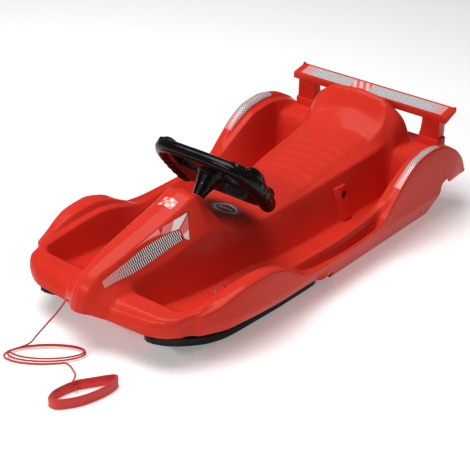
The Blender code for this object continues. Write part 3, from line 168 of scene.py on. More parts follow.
def coil_point(share):
    """A point of the loose loops, from their top end to their bottom end."""
    angle = math.tau * (COIL_START + COIL_TURNS * share)
    along = (COIL_HALF_LENGTH + COIL_GROWTH * share) * math.cos(angle) + COIL_GROWTH * (0.5 - share) / 1.5
    across = (COIL_HALF_WIDTH + COIL_GROWTH * share / 1.5) * math.sin(angle)
    x = COIL_CENTRE[0] + along * math.cos(COIL_HEADING) - across * math.sin(COIL_HEADING)
    y = COIL_CENTRE[1] + along * math.sin(COIL_HEADING) + across * math.cos(COIL_HEADING)
    return Vector((x, y, CORD_RADIUS + CORD_GROUND + CORD_PITCH * COIL_TURNS * (1 - share)))


# %% Centreline of the strap and of the whole cord
STRAP_WIDTH = 0.022
STRAP_THICKNESS = 0.0032
FIT_GAP = 0.0003
STRAP_ROUTE = (
    (0.0950, -0.6840), (0.1100, -0.6820), (0.1250, -0.6650), (0.1370, -0.6430), (0.1455, -0.6150),
    (0.1490, -0.5860), (0.1460, -0.5620), (0.1370, -0.5570), (0.1260, -0.5700), (0.1110, -0.5930),
    (0.0970, -0.6150), (0.0900, -0.6400), (0.0885, -0.6660))
TAIL_PLACE = Vector((0.092, -0.618, 0))

strap_line = smooth_route([(x, y, 0) for x, y in STRAP_ROUTE + STRAP_ROUTE[:1]], 0.0025)[:-1]
near = min(range(len(strap_line)), key=lambda index: (strap_line[index] - TAIL_PLACE).length)
along_strap = (strap_line[(near + 2) % len(strap_line)] - strap_line[near - 2]).normalized()
outward = Vector((along_strap.y, -along_strap.x, 0))
if outward.dot(strap_line[near] - sum(strap_line, Vector()) / len(strap_line)) < 0:
    outward = -outward
strap_eye = strap_line[near] + Vector((0, 0, CORD_GROUND + STRAP_WIDTH / 2))

straight = CORD_RADIUS * 2
loop_count = round(48 * COIL_TURNS)
loops = [coil_point(index / loop_count) for index in range(loop_count + 1)]
loop_start = (loops[1] - loops[0]).normalized()
loop_end = (loops[-1] - loops[-2]).normalized()
tail_end = [strap_eye + outward * (STRAP_THICKNESS / 2 + FIT_GAP + straight * step) for step in (3, 1, 0)]
cord_line = smooth_route(
    list(LEAD_ROUTE) + [loops[0] - loop_start * straight * 4, loops[0] - loop_start * straight * 2]
    + loops[::3] + ([] if loop_count % 3 == 0 else [loops[-1]])
    + [loops[-1] + loop_end * straight * 2, loops[-1] + loop_end * straight * 4]
    + list(TAIL_ROUTE) + tail_end, CORD_RADIUS)


# %% A tube swept along a line, with a map along it
def sweep(points, profile, closed=False, scales=None):
    """Sweep a closed profile of (side, up) points along a line; the map's u runs round it, v along it."""
    made = bmesh.new()
    layer = made.loops.layers.uv.new("run")
    count = len(points)
    up_hint = Vector((0, 0, 1))
    side = None
    rings, runs = [], [0.0]
    for index, here in enumerate(points):
        if closed:
            ahead, behind = points[(index + 1) % count], points[index - 1]
        else:
            ahead, behind = points[min(index + 1, count - 1)], points[max(index - 1, 0)]
        along = (ahead - behind).normalized()
        if side is None:
            side = along.cross(up_hint).normalized()
        side = (side - along * side.dot(along)).normalized()
        upright = side.cross(along)
        scale = scales[index] if scales else 1.0
        rings.append([made.verts.new(here + (side * a + upright * b) * scale) for a, b in profile])
        if index:
            runs.append(runs[-1] + (here - points[index - 1]).length)
    total = runs[-1] + (points[0] - points[-1]).length
    sides = len(profile)
    spans = [(k, k + 1) for k in range(count - 1)] + ([(count - 1, 0)] if closed else [])
    for k, n in spans:
        low, high = runs[k], total if n == 0 else runs[n]
        for s in range(sides):
            t = (s + 1) % sides
            face = made.faces.new((rings[k][s], rings[k][t], rings[n][t], rings[n][s]))
            for corner, (u, v) in zip(face.loops, ((s, low), ((s + 1), low), ((s + 1), high), (s, high))):
                corner[layer].uv = (u / sides, v)
    if not closed:
        made.faces.new(rings[0][::-1])
        made.faces.new(rings[-1])
    bmesh.ops.recalc_face_normals(made, faces=made.faces)
    return made


def round_profile(radius, sides):
    return [(radius * math.cos(math.tau * k / sides), radius * math.sin(math.tau * k / sides)) for k in range(sides)]


# %% [markdown]
# ## Materials
#
# Each finish is a small node tree. The moulded shell is a glossy red plastic: nearly even in
# colour, with the fine waviness of a blow moulding, faint flow marks and light handling marks
# that show only in the highlights. The patterns read object coordinates, or a map that runs along
# the cord, the strap or a film. Every piece keeps its object at the origin, so they lie still when
# the wheel is turned.

# %% Helpers for node trees
COAT_ROUGHNESS = 0.08


class Value:
    """The output of a node. Sums, products and comparisons of values make the next nodes."""

    def __init__(self, finish, socket):
        self.finish, self.socket = finish, socket

    def work(self, operation, other=0.0):
        return self.finish.add("ShaderNodeMath", {0: self, 1: other}, operation=operation)

    __add__, __sub__ = partialmethod(work, "ADD"), partialmethod(work, "SUBTRACT")
    __mul__, __abs__ = partialmethod(work, "MULTIPLY"), partialmethod(work, "ABSOLUTE")
    __lt__, __gt__ = partialmethod(work, "LESS_THAN"), partialmethod(work, "GREATER_THAN")

    def span(self, low, high, to_low=0.0, to_high=1.0):
        """Stretch the value between two limits onto two others, and hold it there."""
        return self.finish.add("ShaderNodeMapRange", {
            "Value": self, "From Min": low, "From Max": high, "To Min": to_low, "To Max": to_high}, "Result")


class Finish:
    """A material in the making, with its node tree and its shader."""

    def __init__(self, name, colour, roughness, metallic=0.0, coat=0.0, sheen=0.0, specular=0.5):
        self.material = bpy.data.materials.new(name)
        self.material.use_nodes = True
        self.tree = self.material.node_tree
        self.shader = self.tree.nodes["Principled BSDF"]
        self.give(self.shader, {
            "Base Color": (*colour, 1), "Roughness": roughness, "Metallic": metallic, "Coat Weight": coat,
            "Coat Roughness": COAT_ROUGHNESS, "Sheen Weight": sheen, "Specular IOR Level": specular})

    def give(self, target, inputs):
        """Set a node's inputs, each to a plain value or to what another node gives."""
        for key, value in inputs.items():
            if isinstance(value, Value):
                self.tree.links.new(value.socket, target.inputs[key])
            else:
                target.inputs[key].default_value = value

    def add(self, kind, inputs, output=0, **settings):
        made = self.tree.nodes.new(kind)
        for key, value in settings.items():
            setattr(made, key, value)
        self.give(made, inputs)
        return Value(self, made.outputs[output])

    def noise(self, scale, detail=3.0, stretch=(1, 1, 1), distortion=0.0):
        """A noise value on object coordinates, stretched along an axis where needed."""
        place = self.add("ShaderNodeTexCoord", {}, "Object")
        stretched = self.add("ShaderNodeMapping", {"Vector": place, "Scale": stretch}, "Vector")
        return self.add("ShaderNodeTexNoise", {
            "Vector": stretched, "Scale": scale, "Detail": detail, "Distortion": distortion}, "Fac")

    def run_map(self):
        """Both numbers of a piece's own map: the one round or across it and the one along it."""
        run = self.add("ShaderNodeUVMap", {}, "UV", uv_map="run")
        return [self.add("ShaderNodeSeparateXYZ", {0: run}, axis) for axis in (0, 1)]

    def mix(self, share, first, second):
        first, second = [tone if isinstance(tone, Value) else (*tone, 1) for tone in (first, second)]
        return self.add("ShaderNodeMix", {0: share, 6: first, 7: second}, 2, data_type="RGBA")

    def paint(self, tone, **rough):
        self.give(self.shader, {"Base Color": tone, **rough})

    def bumps(self, *layers):
        """Bumps over one another, each a height with its strength and its distance."""
        below = {}
        for height, strength, distance in layers:
            below = {"Normal": self.add("ShaderNodeBump", {
                "Height": height, "Strength": strength, "Distance": distance, **below}, "Normal")}
        self.give(self.shader, below)


# %% Moulded red plastic
def red_plastic():
    made = Finish("moulded_red", (0.70, 0.056, 0.034), 0.22, coat=0.03, specular=0.11)
    base = made.mix(made.noise(5.0, 2.0).span(0.35, 0.65), (0.67, 0.050, 0.030), (0.72, 0.062, 0.038))
    flow = made.noise(9.0, 2.0, (1, 0.35, 1), 0.4).span(0.62, 0.82, 0, 0.12)
    marks = made.noise(40.0, 3.0, (1, 0.2, 1)).span(0.45, 0.75, 0.17, 0.23)
    made.paint(made.mix(flow, base, (0.78, 0.080, 0.052)), Roughness=marks + made.noise(7.0).span(0.3, 0.7, 0, 0.04))
    made.bumps((made.noise(24.0, 1.0), 0.08, 0.004), (made.noise(600.0, 2.0), 0.04, 0.0003))
    return made.material


# %% Moulded black plastic
def black_plastic():
    made = Finish("moulded_black", (0.004, 0.004, 0.005), 0.22, coat=0.05, specular=0.28)
    made.paint(made.mix(made.noise(25.0).span(0.3, 0.7), (0.003, 0.003, 0.004), (0.007, 0.007, 0.008)),
               Roughness=made.noise(45.0, 5.0).span(0.35, 0.7, 0.15, 0.26))
    made.bumps((made.noise(90.0, 1.0), 0.08, 0.001), (made.noise(1400.0, 2.0), 0.10, 0.0002))
    return made.material


# %% Zinc plated steel
def zinc_steel():
    made = Finish("zinc_plate", (0.60, 0.61, 0.60), 0.30, metallic=1.0)
    made.paint(made.mix(made.noise(160.0, 3.0).span(0.35, 0.65), (0.50, 0.51, 0.51), (0.70, 0.71, 0.69)),
               Roughness=made.noise(80.0, 4.0).span(0.3, 0.7, 0.22, 0.42))
    made.bumps((made.noise(900.0, 2.0), 0.12, 0.0002))
    return made.material


# %% Braided cord
BRAID_PITCH, BRAID_STRANDS = 0.0062, 4.0


def braided_cord():
    """Two sets of strands that wind round the cord in opposite directions, from its own map."""
    made = Finish("braided_cord", (0.55, 0.035, 0.03), 0.72, sheen=0.35)
    turns, run = made.run_map()
    length = run * (1 / BRAID_PITCH)
    first, second = [((turns * BRAID_STRANDS + length * (BRAID_STRANDS * way)) * math.tau).work("SINE")
                     for way in (1, -1)]
    over = first.work("MAXIMUM", second)
    # The colour is painted darker where the strands dip, as shade between them; the bumps use the same height.
    made.paint(made.mix(over.span(-0.4, 1.0), (0.36, 0.018, 0.014), (0.84, 0.070, 0.054)))
    made.bumps((over, 0.7, 0.0003), (made.noise(5000.0, 2.0), 0.25, 0.0001))
    return made.material


# %% Woven webbing
WEFT_PITCH, WARP_YARNS = 0.0016, 24


def woven_webbing():
    """A ribbed tape: rows across it and small yarns along it."""
    made = Finish("woven_webbing", (0.62, 0.04, 0.035), 0.62, sheen=0.4)
    across, length = made.run_map()
    weft = (length * (math.tau / WEFT_PITCH)).work("SINE")
    warp = (across * (math.tau * WARP_YARNS)).work("SINE")
    height = weft * 0.5 + weft * warp * 0.5
    # The tone is painted darker in the low places of the weave, as shade between the yarns; random lighter patches are
    # mixed over it.
    tone = made.mix(height.span(-0.9, 0.9), (0.56, 0.028, 0.020), (0.88, 0.070, 0.052))
    made.paint(made.mix(made.noise(60.0).span(0.35, 0.7, 0, 0.3), tone, (0.90, 0.12, 0.095)))
    made.bumps((height, 0.6, 0.0003), (made.noise(4000.0, 2.0), 0.2, 0.0001))
    return made.material


# %% Make the finishes and give them to the solid model's pieces
finishes = {
    "red_plastic": red_plastic(),
    "black_plastic": black_plastic(),
    "zinc_steel": zinc_steel(),
    "red_cord": braided_cord(),
    "red_webbing": woven_webbing(),
}
for part in frame["record"]["subparts"]:
    solid = nodes[part["node"]]
    solid.data.materials.clear()
    solid.data.materials.append(finishes[part["material_slot"]])


def dress(piece, body, slot, stands_for=()):
    """Give a new piece its finish, the body that it rides on and the solids that it stands for."""
    piece.data.materials.clear()
    piece.data.materials.append(finishes[slot])
    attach(piece, body)
    if stands_for:
        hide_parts(*stands_for)
    return piece


# %% The cord and the strap as pieces
STRAP_EDGE_ROUND = 0.0011
KNOT_STEPS, KNOT_TURNS, KNOT_RADIUS = 60, 2.5, 0.0026
KNOT_START, KNOT_LENGTH = 0.0016, 0.0042

cord = dress(mesh_object("pull_cord", sweep(cord_line, round_profile(CORD_RADIUS, 12)), 60), "chassis", "red_cord",
             ("cord_lead", "cord_coil", "cord_tail"))

half_thick, half_wide, soft = STRAP_THICKNESS / 2, STRAP_WIDTH / 2, STRAP_EDGE_ROUND
strap_profile = []
for turn, (a, b) in enumerate(((1, 1), (-1, 1), (-1, -1), (1, -1))):
    for step in range(5):
        angle = math.pi / 2 * (turn + step / 4)
        strap_profile.append((a * (half_thick - soft) + soft * math.cos(angle),
                              b * (half_wide - soft) + soft * math.sin(angle)))
raised = [point + Vector((0, 0, CORD_GROUND + half_wide)) for point in strap_line]
dress(mesh_object("webbing_strap", sweep(raised, strap_profile, closed=True), 50), "chassis", "red_webbing",
      ("hand_strap",))
strap_inside = strap_eye - outward * (STRAP_THICKNESS / 2 + FIT_GAP)
turns = []
for index in range(KNOT_STEPS + 1):
    share = index / KNOT_STEPS
    angle = math.tau * KNOT_TURNS * share
    reach = KNOT_RADIUS * math.sin(math.pi * (0.15 + 0.7 * share))
    turns.append(strap_inside - outward * (KNOT_START + KNOT_LENGTH * share)
                 + along_strap * reach * math.cos(angle) + Vector((0, 0, reach * math.sin(angle))))
strap_knot = dress(mesh_object("strap_knot", sweep(turns, round_profile(CORD_RADIUS * 0.95, 10)), 60), "chassis",
                   "red_cord")


# %% [markdown]
# The webbing is sewn along both edges, which shows outside and inside. One long stitch is the same
# as the next, so a small node group sets them: it turns four guide lines into curves, puts a stitch
# at every step along them, turns each one along its line and makes them real pieces of thread.

# %% Node group that sews along lines
def sewing_group():
    group = bpy.data.node_groups.new("sewing", "GeometryNodeTree")
    face = group.interface
    face.new_socket("Lines", in_out="INPUT", socket_type="NodeSocketGeometry")
    names = {}
    for label, kind in (("Spacing", "NodeSocketFloat"), ("Stitch length", "NodeSocketFloat"),
                        ("Thread", "NodeSocketFloat"), ("Finish", "NodeSocketMaterial")):
        names[label] = face.new_socket(label, in_out="INPUT", socket_type=kind).identifier
    face.new_socket("Sewn", in_out="OUTPUT", socket_type="NodeSocketGeometry")

    def add(kind, inputs=None, **settings):
        made = group.nodes.new(kind)
        for key, value in settings.items():
            setattr(made, key, value)
        for key, value in (inputs or {}).items():
            made.inputs[key].default_value = value
        return made

    given, sewn = add("NodeGroupInput"), add("NodeGroupOutput")
    line, even = add("GeometryNodeMeshToCurve"), add("GeometryNodeResampleCurve", mode="LENGTH")
    stitch = add("GeometryNodeMeshUVSphere", {"Segments": 8, "Rings": 6, "Radius": 1.0})
    half = add("ShaderNodeMath", {1: 0.5}, operation="MULTIPLY")
    size, tangent = add("ShaderNodeCombineXYZ"), add("GeometryNodeInputTangent")
    turn = add("FunctionNodeAlignRotationToVector", axis="Z")
    spread, real = add("GeometryNodeInstanceOnPoints"), add("GeometryNodeRealizeInstances")
    finish = add("GeometryNodeSetMaterial")
    for source, output, target, socket in (
            (given, "Lines", line, "Mesh"), (line, "Curve", even, "Curve"), (given, "Spacing", even, "Length"),
            (given, "Stitch length", half, 0), (given, "Thread", size, "X"), (given, "Thread", size, "Y"),
            (half, "Value", size, "Z"), (tangent, "Tangent", turn, "Vector"), (even, "Curve", spread, "Points"),
            (stitch, "Mesh", spread, "Instance"), (turn, "Rotation", spread, "Rotation"),
            (size, "Vector", spread, "Scale"), (spread, "Instances", real, "Geometry"),
            (real, "Geometry", finish, "Geometry"), (given, "Finish", finish, "Material"),
            (finish, "Geometry", sewn, "Sewn")):
        group.links.new(source.outputs[output], target.inputs[socket])
    return group, names


# %% Stitches along both edges of the webbing, outside and inside
def apply_modifiers(thing):
    """Turn what the modifiers make into a plain mesh on the same object."""
    bpy.context.view_layer.update()
    shape = thing.evaluated_get(bpy.context.evaluated_depsgraph_get())
    data = bpy.data.meshes.new_from_object(shape)
    thing.modifiers.clear()
    thing.data = data
    data.shade_smooth()
    return thing


def sewing_thread():
    made = Finish("sewing_thread", (0.62, 0.09, 0.08), 0.6, sheen=0.3)
    made.paint(made.mix(made.noise(900.0).span(0.3, 0.7), (0.50, 0.05, 0.045), (0.74, 0.16, 0.14)))
    return made.material


STITCH_SPACING, STITCH_LENGTH, THREAD_RADIUS = 0.0034, 0.0024, 0.0004
GUIDE_LEVEL, GUIDE_LIFT = 0.0080, 0.0001

guides = bmesh.new()
for face_side in (-1, 1):
    for level in (-GUIDE_LEVEL, GUIDE_LEVEL):
        ring = []
        for index, here in enumerate(raised):
            along = (raised[(index + 1) % len(raised)] - raised[index - 1]).normalized()
            sideways = Vector((along.y, -along.x, 0)) * face_side * (half_thick + GUIDE_LIFT)
            ring.append(guides.verts.new(here + sideways + Vector((0, 0, level))))
        for first, second in zip(ring, ring[1:] + ring[:1]):
            guides.edges.new((first, second))
guide_mesh = bpy.data.meshes.new("stitches")
guides.to_mesh(guide_mesh)
guides.free()
stitches = new_object("strap_stitches", guide_mesh)
sew = stitches.modifiers.new("sewing", "NODES")
sew.node_group, sewing_names = sewing_group()
for label, value in (("Spacing", STITCH_SPACING), ("Stitch length", STITCH_LENGTH), ("Thread", THREAD_RADIUS),
                     ("Finish", sewing_thread())):
    sew[sewing_names[label]] = value
apply_modifiers(stitches)
stitches.data.name = "strap_stitches"
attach(stitches, "chassis")
print("stitches:", len(stitches.data.polygons), "faces")


# %% [markdown]
# The skis are pressed from thick black sheet, so their edges are round. The solid model's plates
# are copied with every sharp edge rolled over, and take their place.

# %% Skis with rolled edges
SKI_EDGE_ROUND = 0.0014

for hand in ("left", "right"):
    solid = nodes[f"ski_{hand}"]
    ski = bmesh.new()
    ski.from_mesh(solid.data)
    bmesh.ops.transform(ski, matrix=solid.matrix_world, verts=ski.verts)
    bmesh.ops.remove_doubles(ski, verts=ski.verts, dist=0.00002)
    bmesh.ops.dissolve_limit(ski, angle_limit=math.radians(0.5), verts=ski.verts, edges=ski.edges)
    sharp = [edge for edge in ski.edges if len(edge.link_faces) == 2 and edge.calc_face_angle() > math.radians(35)]
    bmesh.ops.bevel(ski, geom=sharp, offset=SKI_EDGE_ROUND, segments=3, profile=0.5, affect="EDGES",
                    clamp_overlap=True)
    rolled = dress(mesh_object(f"rolled_ski_{hand}", ski, 40), f"{hand}_ski", "black_plastic", (f"ski_{hand}",))
    print(rolled.name, len(rolled.data.polygons), "faces")


# %% [markdown]
# ## The moulded shell
#
# The real shell is one sheet of plastic, about 4 mm thick, drawn over a mould. Its shape is
# best said as a boat builder says a hull: a few lines that run from nose to tail, each with
# a width and a height at every station. Across each station the lines are joined by
# straight runs with rounded corners, and skinning all the stations gives half the shell.

# %% Sizes of the shell
HULL_LENGTH = 1.04
HALF_WIDTH = 0.495 / 2
HULL_HEIGHT = 0.25
WALL = 0.004

# %% Lines of the shell
# Each row is a station from -0.5 at the nose to 0.5 at the tail, and a share of the height or half width.
SPINE_HEIGHT = (
    (-0.442, 0.630), (-0.385, 0.704), (-0.317, 0.775), (-0.250, 0.850), (-0.205, 0.905), (-0.198, 0.893),
    (-0.190, 0.850), (-0.162, 0.712), (-0.137, 0.587), (-0.130, 0.557), (-0.120, 0.545), (-0.096, 0.538),
    (0.000, 0.520), (0.087, 0.522), (0.164, 0.568), (0.238, 0.616), (0.288, 0.652), (0.322, 0.690),
    (0.346, 0.750), (0.361, 0.800), (0.373, 0.856), (0.385, 0.930), (0.392, 0.980), (0.399, 1.000),
    (0.408, 0.990), (0.414, 0.970), (0.419, 0.800), (0.424, 0.600), (0.432, 0.592), (0.471, 0.584))
BONNET_WIDTH = (
    (-0.442, 0.080), (-0.385, 0.112), (-0.250, 0.125), (-0.192, 0.130), (-0.133, 0.165), (0.000, 0.220),
    (0.096, 0.240), (0.238, 0.262), (0.300, 0.275), (0.322, 0.305), (0.346, 0.365), (0.361, 0.380),
    (0.373, 0.365), (0.385, 0.335), (0.392, 0.310), (0.399, 0.288), (0.414, 0.270), (0.432, 0.320))
BONNET_DROP = (
    (-0.442, 0.026), (-0.250, 0.034), (-0.192, 0.028), (-0.133, 0.010), (0.087, 0.008), (0.300, 0.012),
    (0.346, 0.022), (0.373, 0.016), (0.385, 0.018), (0.399, 0.024), (0.414, 0.034), (0.419, 0.030),
    (0.424, 0.004), (0.432, 0.000))
SHOULDER_WIDTH = (
    (-0.442, 0.150), (-0.420, 0.174), (-0.387, 0.220), (-0.350, 0.250), (-0.285, 0.279), (-0.216, 0.290),
    (-0.165, 0.294), (-0.125, 0.300), (-0.096, 0.310), (-0.060, 0.322), (0.000, 0.330), (0.117, 0.345),
    (0.164, 0.368), (0.238, 0.398), (0.322, 0.432), (0.346, 0.448), (0.373, 0.472), (0.385, 0.476),
    (0.399, 0.488), (0.414, 0.500), (0.432, 0.540))
SHOULDER_HEIGHT = (
    (-0.442, 0.500), (-0.400, 0.502), (-0.350, 0.524), (-0.285, 0.576), (-0.216, 0.606), (-0.180, 0.596),
    (-0.140, 0.505), (-0.096, 0.482), (0.000, 0.484), (0.117, 0.502), (0.164, 0.528), (0.238, 0.564),
    (0.322, 0.604), (0.346, 0.632), (0.361, 0.670), (0.373, 0.720), (0.385, 0.780), (0.399, 0.820),
    (0.414, 0.800), (0.419, 0.690), (0.424, 0.592), (0.471, 0.584))
FOOT_WIDTH = (
    (-0.442, 0.240), (-0.405, 0.256), (-0.385, 0.300), (-0.350, 0.346), (-0.288, 0.390), (-0.125, 0.410),
    (-0.105, 0.420), (-0.060, 0.466), (0.000, 0.490), (0.096, 0.502), (0.322, 0.515), (0.385, 0.512),
    (0.414, 0.545), (0.432, 0.565))
FLOOR_HEIGHT = (
    (-0.442, 0.430), (-0.416, 0.430), (-0.408, 0.424), (-0.402, 0.395), (-0.385, 0.262), (-0.376, 0.245),
    (-0.308, 0.218), (-0.144, 0.180), (0.000, 0.160), (0.096, 0.154), (0.317, 0.154), (0.341, 0.162),
    (0.349, 0.200), (0.361, 0.530), (0.367, 0.578), (0.380, 0.588), (0.394, 0.592), (0.471, 0.584))
RAIL_FOOT_WIDTH = (
    (-0.442, 0.640), (-0.400, 0.690), (-0.370, 0.705), (-0.192, 0.705), (-0.096, 0.665), (0.000, 0.630),
    (0.096, 0.640), (0.192, 0.680), (0.288, 0.730), (0.378, 0.790), (0.471, 0.790))
RIDGE_WIDTH = (
    (-0.442, 0.715), (-0.385, 0.768), (-0.192, 0.788), (-0.115, 0.808), (-0.048, 0.828), (0.048, 0.846),
    (0.144, 0.848), (0.337, 0.832), (0.500, 0.846))
RIDGE_HEIGHT = (
    (-0.442, 0.430), (-0.385, 0.440), (-0.337, 0.455), (-0.288, 0.475), (-0.240, 0.480), (-0.192, 0.450),
    (-0.144, 0.385), (-0.096, 0.345), (0.000, 0.352), (0.096, 0.372), (0.154, 0.400), (0.192, 0.470),
    (0.240, 0.590), (0.288, 0.680), (0.337, 0.705), (0.385, 0.680), (0.433, 0.610), (0.471, 0.500),
    (0.486, 0.420), (0.496, 0.330))
CREASE_WIDTH = (
    (-0.442, 0.806), (-0.420, 0.842), (-0.394, 0.880), (-0.346, 0.940), (-0.288, 0.985), (-0.212, 1.000),
    (0.433, 1.000), (0.500, 0.972))
CREASE_HEIGHT = (
    (-0.442, 0.412), (-0.394, 0.430), (-0.361, 0.450), (-0.327, 0.500), (-0.288, 0.540), (-0.240, 0.550),
    (-0.192, 0.505), (-0.144, 0.390), (-0.106, 0.315), (-0.048, 0.294), (0.048, 0.298), (0.125, 0.314),
    (0.159, 0.355), (0.192, 0.470), (0.240, 0.640), (0.288, 0.735), (0.337, 0.755), (0.385, 0.722),
    (0.433, 0.630), (0.471, 0.500), (0.486, 0.420), (0.496, 0.330))
GROOVE_DEPTH = (
    (-0.110, 0.000), (-0.087, 0.028), (0.000, 0.048), (0.144, 0.080), (0.163, 0.010), (0.170, 0.000))
WALL_BEND_HEIGHT = (
    (-0.442, 0.330), (-0.385, 0.310), (-0.288, 0.280), (-0.144, 0.250), (0.400, 0.250), (0.433, 0.330),
    (0.486, 0.330), (0.496, 0.318))
EDGE_WIDTH = (
    (-0.442, 0.780), (-0.385, 0.845), (-0.317, 0.900), (-0.192, 0.905), (-0.030, 0.880), (0.010, 0.858),
    (0.395, 0.858), (0.433, 0.950), (0.500, 0.962))
EDGE_HEIGHT = (
    (-0.442, 0.264), (-0.385, 0.232), (-0.317, 0.188), (-0.192, 0.136), (-0.040, 0.092), (-0.018, 0.000),
    (0.395, 0.000), (0.433, 0.240), (0.500, 0.300))
DECK_END = 0.471

# Plan and height of the front lower edge, as shares of the half width, length and height
FRONT_REACH = (
    (0.000, 0.500), (0.070, 0.496), (0.150, 0.476), (0.260, 0.470), (0.540, 0.464), (0.640, 0.456),
    (0.700, 0.447), (0.750, 0.435), (0.790, 0.418))
FRONT_HEIGHT = ((0.000, 0.330), (0.080, 0.326), (0.160, 0.296), (0.300, 0.282), (0.820, 0.276))
CORNER_SWEEP = ((0.600, 0.000), (0.700, 0.006), (0.780, 0.020), (0.830, 0.032))
SWEEP_END = -0.380
FRONT_WIDTH = (0.0, 0.058, 0.105, 0.220, 0.560, 0.640, 0.668, 0.692, 0.712, 0.732, 0.752, 0.772, 0.700)

FLANGE_WIDTH = 0.018
RIDGE_BAND = 0.013
GROOVE_RUN = 0.006
FENDER_CROWN = 0.006

# How far each corner of a station is rounded, in metres: one table for each corner, read by station
CORNER_ROUND = (
    ((0, 0.0),),
    ((-0.442, 0.005), (-0.220, 0.005), (-0.120, 0.010), (0.050, 0.020), (0.300, 0.022), (0.330, 0.010),
     (0.373, 0.008), (0.392, 0.014), (0.414, 0.030), (0.432, 0.006)),
    ((-0.442, 0.006), (-0.400, 0.004), (0.325, 0.006), (0.361, 0.012), (0.385, 0.020), (0.414, 0.028), (0.432, 0.006)),
    ((-0.442, 0.006), (-0.400, 0.005), (0.340, 0.006), (0.422, 0.008)),
    ((-0.442, 0.010), (-0.400, 0.008), (0.340, 0.007), (0.422, 0.008)),
    ((-0.442, 0.004), (0.500, 0.003)),
    ((0, 0.002),), ((0, 0.0025),), ((0, 0.002),),
    ((0, 0.004),), ((0, 0.008),), ((0, 0.002),), ((0, 0.0),))


def share_at(table, place):
    """Read a table on a smooth curve that never overshoots its points."""
    if place <= table[0][0]:
        return table[0][1]
    if place >= table[-1][0]:
        return table[-1][1]
    slopes = [(q[1] - p[1]) / (q[0] - p[0]) for p, q in zip(table, table[1:])]
    index = next(i for i in range(len(slopes)) if place <= table[i + 1][0])

    def tangent(at):
        if at == 0 or at == len(slopes):
            return slopes[min(at, len(slopes) - 1)]
        before, after = slopes[at - 1], slopes[at]
        return 0 if before * after <= 0 else 2 * before * after / (before + after)

    (low, start), (high, end) = table[index], table[index + 1]
    reach = high - low
    t = (place - low) / reach
    return (start * (1 + 2 * t) * (1 - t) ** 2 + tangent(index) * reach * t * (1 - t) ** 2
            + end * t * t * (3 - 2 * t) + tangent(index + 1) * reach * t * t * (t - 1))


# %% Corner points of one station
def hull_corners(place):
    """Corners across one station, from the middle line out to the flange of the lower edge."""
    def width(table):
        return HALF_WIDTH * share_at(table, place)

    def height(table):
        return HULL_HEIGHT * share_at(table, place)

    spine, floor_level = height(SPINE_HEIGHT), height(FLOOR_HEIGHT)
    ridge, crest = width(RIDGE_WIDTH), height(RIDGE_HEIGHT)
    crease, crease_top = width(CREASE_WIDTH), height(CREASE_HEIGHT)
    groove = height(GROOVE_DEPTH)
    fender = max(0.0, min(1.0, (crease_top - crest) / FENDER_CROWN + 1)) if groove == 0 else 0.0
    crown = fender * FENDER_CROWN
    edge, edge_top = width(EDGE_WIDTH), height(EDGE_HEIGHT)
    groove_foot = min(crest, crease_top) - groove if groove else (crest + crease_top) / 2 + crown
    band_inner = crease - GROOVE_RUN if groove else crease - GROOVE_RUN * 2
    return [
        (0.0, spine),
        (width(BONNET_WIDTH), spine - height(BONNET_DROP)),
        (width(SHOULDER_WIDTH), height(SHOULDER_HEIGHT)),
        (width(FOOT_WIDTH), floor_level),
        (width(RAIL_FOOT_WIDTH), floor_level),
        (ridge, crest),
        (ridge + RIDGE_BAND, crest + crown / 2),
        (ridge + RIDGE_BAND + GROOVE_RUN, groove_foot),
        (max(band_inner, ridge + RIDGE_BAND + GROOVE_RUN * 1.5), crease_top + crown / 2),
        (crease, crease_top),
        (max(crease - WALL, edge), height(WALL_BEND_HEIGHT)),
        (edge, edge_top),
        (edge - FLANGE_WIDTH, edge_top),
    ]


# %% Round the corners of a station
# Points on the arc of each corner, and steps on the straight run after it
CORNER_STEPS = (1, 7, 7, 6, 6, 5, 3, 3, 3, 5, 4, 3, 1)
RUN_STEPS = (6, 8, 4, 4, 3, 1, 1, 1, 1, 3, 3, 1)
LARGEST_REACH = 0.46


def bend(start, corner, end, count):
    """Points on the curve that rounds a corner, from a point on one of its runs to one on the other."""
    shares = [step / (count - 1) for step in range(count)]
    return [start * (1 - share) ** 2 + corner * 2 * share * (1 - share) + end * share ** 2 for share in shares]


def rounded_row(corners, place):
    """The same number of points for every station: an arc at each corner and even steps between."""
    arcs = []
    for index, here in enumerate(corners):
        here = Vector(here)
        if CORNER_STEPS[index] == 1:
            arcs.append([here])
            continue
        reach = share_at(CORNER_ROUND[index], place)
        start, end = [here + run.normalized() * min(reach, run.length * LARGEST_REACH)
                      for run in (Vector(corners[index - 1]) - here, Vector(corners[index + 1]) - here)]
        arcs.append(bend(start, here, end, CORNER_STEPS[index]))
    row = []
    for index, arc in enumerate(arcs):
        row += arc
        if index < len(arcs) - 1:
            count = RUN_STEPS[index]
            row += [arc[-1].lerp(arcs[index + 1][0], step / count) for step in range(1, count)]
    return row


# %% [markdown]
# The seat has a shallow pad with soft ribs across it. They are pressed into the same sheet, so
# they are made by lifting the sheet a little, by a wave along the seat that fades out towards
# the edges of the pad.

# %% Ribs and pad of the seat
PAD_LIFT, RIB_LIFT, RIB_PITCH = 0.0026, 0.0014, 0.030
PAD_HALF_WIDTH = 0.078
PAD_FRONT, PAD_REAR, RIB_REAR = 0.050, 0.386, 0.300
PAD_EDGE, RIB_EDGE = 0.012, 0.030
PAD_BOW, RIB_BOW = 0.030, 0.010
PAD_FRONT_FADE, PAD_REAR_FADE, RIB_FADE = 0.03, 0.008, 0.02


def smooth_step(low, high, value):
    share = max(0.0, min(1.0, (value - low) / (high - low)))
    return share * share * (3 - 2 * share)


